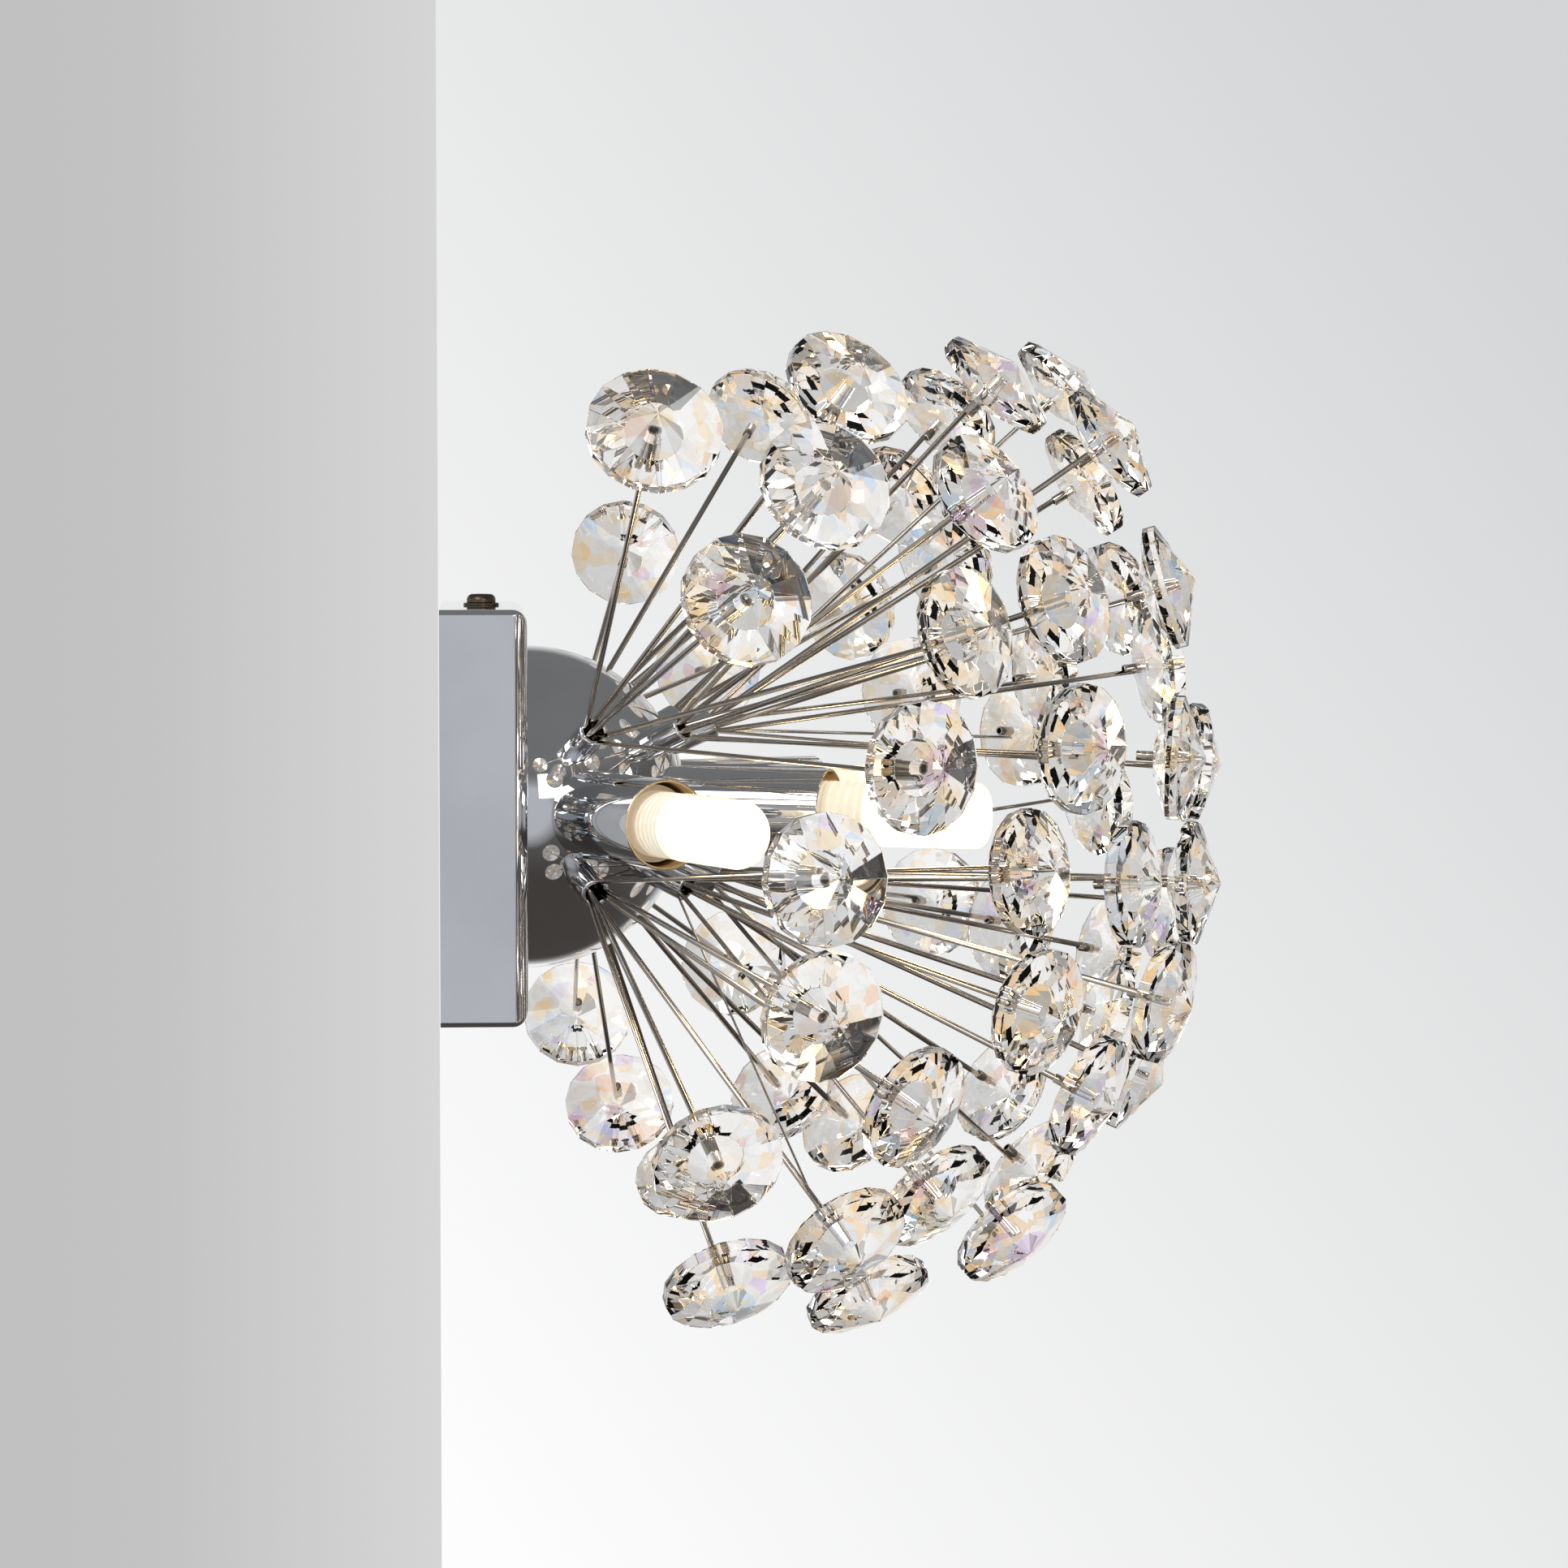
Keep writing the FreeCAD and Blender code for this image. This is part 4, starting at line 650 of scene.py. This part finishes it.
# for each wire: degrees towards -Y, degrees up, straight length to the disc's middle
wireAims = {
    "upper_1": [(57, 38, 128), (84, 31, 135), (72, 18, 111), (56, -1, 124), (45, 13, 116), (68, 25, 137)],
    "upper_2": [(26, 45, 114), (46, 30, 112), (44, 16, 121), (44, 0, 120), (12, -3, 118), (13, 16, 121)],
    "upper_3": [(-9, 42, 121), (22, 34, 122), (-5, -5, 121), (-14, 7, 118), (-27, 14, 123), (-13, 31, 114)],
    "upper_4": [(-48, 30, 108), (-37, 40, 119), (-24, 5, 107), (-41, -3, 128), (-58, 1, 131), (-46, 19, 117)],
    "upper_5": [(-63, 35, 133), (-38, 36, 99), (-51, 13, 117), (-60, 20, 86), (-72, 4, 121), (-82, 21, 110)],
    "lower_1": [(66, 5, 117), (75, -28, 113), (69, -45, 115), (56, -36, 120), (46, -23, 108), (64, -11, 108)],
    "lower_2": [(40, 4, 99), (45, -12, 112), (49, -38, 107), (57, -51, 114), (33, -22, 117), (28, 2, 114)],
    "lower_3": [(18, 0, 118), (31, -12, 122), (16, -23, 114), (48, -38, 124), (-23, -41, 118), (-16, -5, 122)],
    "lower_4": [(-26, 6, 126), (-22, -12, 126), (-9, -19, 118), (-34, -30, 124), (-56, -7, 135), (-40, -10, 124)],
    "lower_5": [(-68, -18, 119), (-56, -36, 117), (-46, -36, 128), (-67, -50, 114), (-83, -37, 120), (-90, -26, 113)],
}


def makeHolders():
    outer, reach, lip = holder["radius"], holder["reach"], holder["lip"]
    bore, boreLip, floor = holder["bore"], holder["boreLip"], reach - holder["depth"]
    stud, start, edge = holder["stud"], holder["studStart"], holder["studBreak"]
    profile = [(start, 0), (start, stud - edge), (start + edge, stud)]
    profile += cope(stud, outer, 4)
    profile += arc((reach - lip, outer - lip), lip, 90, 0, 5)
    profile += arc((reach - boreLip, bore + boreLip), boreLip, 0, -90, 3)
    profile += [(floor, bore), (floor, 0)]
    master = smoothed(turned("holderMaster", profile, 48))
    for row in holderRise:
        aims = [aim for name, aim in holderAims() if name.startswith(row)]
        copies = [copyTo(master, "holderCopy", facing(aim, hubSpot)) for aim in aims]
        piece = paint(joined(row + "Holders", copies), chrome)
        handOver(piece, "fixture", "chrome", "wire_holders_" + row)
    drop(master)


def wireStarts(name, aim):
    upright = (up - aim * up.dot(aim)).normalized()
    side = aim.cross(upright)
    for seat, (sideways, rise, length) in enumerate(wireAims[name]):
        turn = 2 * math.pi * seat / len(wireAims[name])
        start = hubSpot + aim * holder["reach"] * mm
        start += (upright * math.cos(turn) + side * math.sin(turn)) * wire["circle"] * mm
        heading = aimed(sideways, rise)
        corner = start + aim * wire["bend"] * mm * math.tan(aim.angle(heading) / 2)
        yield start, heading, corner, length * mm


def bendWire(aim, start, heading, corner, length):
    root = start - aim * holder["depth"] * mm
    turn = aim.angle(heading)
    inward = (heading - aim * heading.dot(aim)).normalized()
    layDown()
    bpy.ops.mesh.primitive_circle_add(vertices=wire["sides"], radius=wire["radius"] * mm, fill_type="NGON",
                                      location=root, rotation=aim.to_track_quat("Z", "Y").to_euler())
    bpy.ops.object.mode_set(mode="EDIT")
    bpy.ops.mesh.select_all(action="SELECT")
    bpy.ops.mesh.extrude_region_move(TRANSFORM_OT_translate={"value": start - root})
    bpy.ops.mesh.spin(steps=wire["bendSteps"], angle=turn, center=start + inward * wire["bend"] * mm,
                      axis=aim.cross(heading).normalized())
    straight = length - wire["tip"] * mm - (corner - start).length
    bpy.ops.mesh.extrude_region_move(TRANSFORM_OT_translate={"value": heading * straight})
    bpy.ops.mesh.select_all(action="SELECT")
    bpy.ops.mesh.normals_make_consistent(inside=False)
    bpy.ops.object.mode_set(mode="OBJECT")
    return settle(named("wire"))


def makeWires():
    for name, aim in holderAims():
        wires = [bendWire(aim, *place) for place in wireStarts(name, aim)]
        piece = paint(smoothed(joined(name + "_wires", wires), 60), brightWire)
        handOver(piece, "fixture", "bright_wire", "wires_" + name)


makeHolders()
makeWires()
print("wires bent")


# glass discs: sixteen wedges up to a point, sixteen down to a small flat with the pin in it

disc = {"radius": 15, "edge": 3.0, "sides": 16, "front": 7.4, "backRadius": 5.2, "back": 5.1, "hole": 1.23,
        "holeEnd": 0.72, "bevel": 0.07, "bevelFrom": 4}
pinTube = {"radius": 1.2, "bore": 0.78, "start": -9.55, "end": -0.75, "edgeBreak": (0.15, 0.1)}


def makeDisc():
    radius, half = disc["radius"], disc["edge"] / 2
    layDown()
    bpy.ops.mesh.primitive_cylinder_add(vertices=disc["sides"], radius=radius * mm, depth=disc["edge"] * mm,
                                        rotation=(0, math.pi / 2, 0))
    piece = settle(named("discMaster"))
    pickFaces(piece, lambda face: face.normal.x > 0.9)
    bpy.ops.mesh.extrude_region_move(TRANSFORM_OT_translate={"value": ((disc["front"] - half) * mm, 0, 0)})
    bpy.ops.mesh.merge(type="CENTER")
    pickFaces(piece, lambda face: face.normal.x < -0.9)
    bpy.ops.mesh.extrude_region_move(TRANSFORM_OT_translate={"value": ((half - disc["back"]) * mm, 0, 0)})
    share = disc["backRadius"] / radius
    bpy.ops.transform.resize(value=(1, share, share), center_override=(0, 0, 0))
    rim = (disc["backRadius"] - disc["hole"]) * math.cos(math.pi / disc["sides"])
    bpy.ops.mesh.inset(thickness=rim * mm)
    bpy.ops.mesh.extrude_region_move(TRANSFORM_OT_translate={"value": ((disc["back"] - disc["holeEnd"]) * mm, 0, 0)})
    bpy.ops.object.mode_set(mode="OBJECT")
    withModifier(piece, "BEVEL", width=disc["bevel"] * mm, segments=1, limit_method="ANGLE",
                 angle_limit=math.radians(disc["bevelFrom"]))
    return paint(piece, crystalGlass)


def makeDiscs():
    master = makeDisc()
    outer, bore, start, end = (pinTube[key] for key in ("radius", "bore", "start", "end"))
    along, inward = pinTube["edgeBreak"]
    tube = [(start, bore), (start, outer - inward), (start + along, outer), (end - along, outer),
            (end, outer - inward), (end, bore), (start, bore)]
    pinMaster = paint(smoothed(turned("pinMaster", tube, 18), 50), brightWire)
    pins = []
    for name, aim in holderAims():
        places = [facing(heading, corner + heading * length) for _, heading, corner, length in wireStarts(name, aim)]
        piece = joined(name + "_discs", [copyTo(master, "disc", place) for place in places])
        handOver(piece, "fixture", "crystal_glass", "crystals_" + name)
        pins += [copyTo(pinMaster, "pin", place) for place in places]
    handOver(joined("discPins", pins), "fixture", "bright_wire", "crystal_pins")
    drop(master)
    drop(pinMaster)


makeDiscs()
print("glass discs hung")


# CAD pieces that keep their shape

kept = {"wall_bracket": zinc, "lead_bush": bushRubber, "terminal_block": blockPlastic, "terminal_clamps": brass,
        "terminal_screws": darkNickel, "earth_screw": darkNickel, "earth_tag": brass, "small_screws": darkNickel,
        "lamp_nipples": zinc, "lamp_nuts": zinc, "holder_nuts": zinc, "socket_contacts": brass, "lamp_leads": leadSkin}
for number in range(1, 5):
    kept["lamp_socket_%d" % number] = socketCeramic
for name, finish in kept.items():
    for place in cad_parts[name].material_slots:
        place.material = finish
print("kept pieces finished")


# stage: pale floor, backdrop, the grey edge of the wall, soft light (all in metres)

stage = {"floorLevel": -0.75, "floorRadius": 0.6, "floorFade": (0.2, 0.5),
         "floorTones": [(0.3, (0.80, 0.80, 0.80)), (0.7, (0.84, 0.84, 0.84))]}
# the wall's greys, darker towards the left, are painted shade on a glowing card
wallEdge = {"spot": (-0.19, 2.0, -0.12), "size": (0.34, 1.3, 1), "fade": (-0.30, -0.02),
            "tones": [(0.0, (0.53, 0.53, 0.53)), (0.35, (0.545, 0.545, 0.545)), (0.85, (0.64, 0.64, 0.64)),
                      (1.0, (0.665, 0.665, 0.665))]}
lamps = [("windowLamp", (-0.7, -1.1, 1.0), 0.9, 7), ("sideLamp", (1.2, -0.5, 0.5), 0.6, 4),
         ("backLamp", (0.3, 0.35, 1.5), 0.8, 6), ("cardLamp", (0.36, -1.1, 0.36), 0.35, 1.2)]  # place, size, watts
lampTarget = (0.08, 0, 0)
unmirrored = ("sideLamp", "backLamp")  # these two would be white shapes on the hub
photoView = {"spot": (0.0114, -1.25, 0.0785), "look": (366, 6200, -363), "lens": 115.53, "sensor": 36, "farEnd": 20}
# the backdrop's darkening to the right and upwards is painted shade
backdropLook = {"slant": (-0.8, 0, -0.6), "fade": (-0.2, 0.13),
                "tones": [(0.0, (0.655, 0.662, 0.67)), (1.0, (0.985, 0.985, 0.985))]}
roomTones = {"plain": (0.6, 0.6, 0.6), "sides": (0.11, 0.105, 0.10), "front": (0.55, 0.56, 0.59),
             "wall": (0.55, 0.55, 0.55), "ceiling": (0.19, 0.19, 0.19), "floor": (0.07, 0.063, 0.058),
             "gleam": (1.0, 0.68, 0.33), "haze": 0.38}
roomEdges = {"behind": (0.72, 0.9), "front": (-0.89, -0.96), "wall": (-0.3, -0.6), "ceiling": (0.26, 0.5),
             "floor": (-0.42, -0.72), "gleam": (0.7, 0.4), "glass": (-0.1, 0.35)}
gleams = {"scale": 5.5, "detail": 2, "edge": (0.56, 0.6)}


def makeFloor():
    layDown()
    bpy.ops.mesh.primitive_circle_add(vertices=96, radius=stage["floorRadius"], fill_type="NGON",
                                      location=(0, 0, stage["floorLevel"]))
    floor = settle(named("floor"))
    material = bpy.data.materials.new("floorPaper")
    material.use_nodes = True
    tree = material.node_tree
    tree.nodes.clear()
    output = tree.nodes.new("ShaderNodeOutputMaterial")
    paper = tree.nodes.new("ShaderNodeBsdfDiffuse")
    tree.links.new(tones(tree, grain(tree, 30, 3), stage["floorTones"]), paper.inputs["Color"])
    fade = tree.nodes.new("ShaderNodeBsdfTransparent")
    where = tree.nodes.new("ShaderNodeTexCoord")
    reach = tree.nodes.new("ShaderNodeVectorMath")
    reach.operation = "LENGTH"
    tree.links.new(where.outputs["Object"], reach.inputs[0])
    mix = tree.nodes.new("ShaderNodeMixShader")
    tree.links.new(spread(tree, reach.outputs["Value"], 0, 1, *stage["floorFade"]), mix.inputs[0])
    tree.links.new(paper.outputs[0], mix.inputs[1])
    tree.links.new(fade.outputs[0], mix.inputs[2])
    tree.links.new(mix.outputs[0], output.inputs["Surface"])
    paint(floor, material)


def makeWallEdge():  # the grey strip at the photograph's left, far behind the sconce
    layDown()
    bpy.ops.mesh.primitive_plane_add(size=1, location=wallEdge["spot"], rotation=(math.pi / 2, 0, 0))
    card = named("wallEdge")
    card.scale = wallEdge["size"]
    settle(card)
    material = bpy.data.materials.new("paintedWallShade")
    material.use_nodes = True
    tree = material.node_tree
    tree.nodes.clear()
    output = tree.nodes.new("ShaderNodeOutputMaterial")
    # the card glows in the wall's painted shade instead of being lit
    glow = tree.nodes.new("ShaderNodeEmission")
    where = tree.nodes.new("ShaderNodeTexCoord")
    split = tree.nodes.new("ShaderNodeSeparateXYZ")
    tree.links.new(where.outputs["Object"], split.inputs[0])
    across = spread(tree, split.outputs["X"], 0, 1, *wallEdge["fade"])
    tree.links.new(tones(tree, across, wallEdge["tones"]), glow.inputs["Color"])
    tree.links.new(glow.outputs[0], output.inputs["Surface"])
    paint(card, material)


def blended(tree, share, one, two):  # one where the share is 0, two where it is 1
    node = tree.nodes.new("ShaderNodeMix")
    node.data_type = "RGBA"
    if isinstance(share, float):
        node.inputs[0].default_value = share
    else:
        tree.links.new(share, node.inputs[0])
    for socket, tone in ((node.inputs[6], one), (node.inputs[7], two)):
        if isinstance(tone, tuple):
            socket.default_value = (*tone, 1)
        else:
            tree.links.new(tone, socket)
    return node.outputs[2]


def makeWorld():  # diffuse rays meet a plain tone, mirrors and glass a room, the camera the backdrop
    world = bpy.context.scene.world or bpy.data.worlds.new("room")
    bpy.context.scene.world = world
    world.use_nodes = True
    tree = world.node_tree
    tree.nodes.clear()
    where = tree.nodes.new("ShaderNodeTexCoord")
    way = where.outputs["Generated"]
    split = tree.nodes.new("ShaderNodeSeparateXYZ")
    tree.links.new(way, split.inputs[0])

    def towards(axis, edge):
        return spread(tree, split.outputs[axis], 0, 1, *roomEdges[edge])

    slant = tree.nodes.new("ShaderNodeVectorMath")  # the backdrop darkens to the right and upwards, a painted shade
    slant.operation = "DOT_PRODUCT"
    slant.inputs[1].default_value = backdropLook["slant"]
    tree.links.new(way, slant.inputs[0])
    backdrop = tones(tree, spread(tree, slant.outputs["Value"], 0, 1, *backdropLook["fade"]), backdropLook["tones"])
    room = blended(tree, towards("Y", "behind"), roomTones["sides"], backdrop)
    for axis, part in (("Y", "front"), ("X", "wall"), ("Z", "ceiling"), ("Z", "floor")):
        room = blended(tree, towards(axis, part), room, roomTones[part])
    noise = tree.nodes.new("ShaderNodeTexNoise")  # warm gleams for the glass, but not on the backdrop
    noise.inputs["Scale"].default_value = gleams["scale"]
    noise.inputs["Detail"].default_value = gleams["detail"]
    tree.links.new(way, noise.inputs["Vector"])
    gleam = tree.nodes.new("ShaderNodeMath")
    gleam.operation = "MULTIPLY"
    tree.links.new(spread(tree, noise.outputs["Fac"], 0, 1, *gleams["edge"]), gleam.inputs[0])
    tree.links.new(towards("Y", "gleam"), gleam.inputs[1])
    warm = blended(tree, towards("Y", "glass"), room, backdrop)
    warm = blended(tree, gleam.outputs[0], warm, roomTones["gleam"])
    through = blended(tree, roomTones["haze"], warm, backdrop)
    ray = tree.nodes.new("ShaderNodeLightPath")
    colour = roomTones["plain"]
    for kind, seen in (("Is Glossy Ray", room), ("Is Transmission Ray", through), ("Is Camera Ray", backdrop)):
        colour = blended(tree, ray.outputs[kind], colour, seen)
    shine = tree.nodes.new("ShaderNodeBackground")
    output = tree.nodes.new("ShaderNodeOutputWorld")
    tree.links.new(colour, shine.inputs["Color"])
    tree.links.new(shine.outputs[0], output.inputs["Surface"])


def makeLight():
    for name, spot, size, power in lamps:
        layDown()
        bpy.ops.object.light_add(type="AREA", location=spot)
        lamp = bpy.context.object
        lamp.name = name
        lamp.data.size = size
        lamp.data.energy = power
        lamp.visible_glossy = name not in unmirrored
        lamp.rotation_euler = (Vector(lampTarget) - Vector(spot)).to_track_quat("-Z", "Y").to_euler()


def makeCamera():
    aim = Vector(photoView["look"]).to_track_quat("-Z", "Y").to_euler()
    bpy.ops.object.camera_add(location=photoView["spot"], rotation=aim)
    camera = bpy.context.object
    camera.data.lens = photoView["lens"]
    camera.data.sensor_width = photoView["sensor"]
    camera.data.clip_end = photoView["farEnd"]
    bpy.context.scene.camera = camera


makeFloor()
makeWallEdge()
makeWorld()
makeLight()
makeCamera()
bpy.context.scene.view_settings.view_transform = "Standard"
print("stage set")
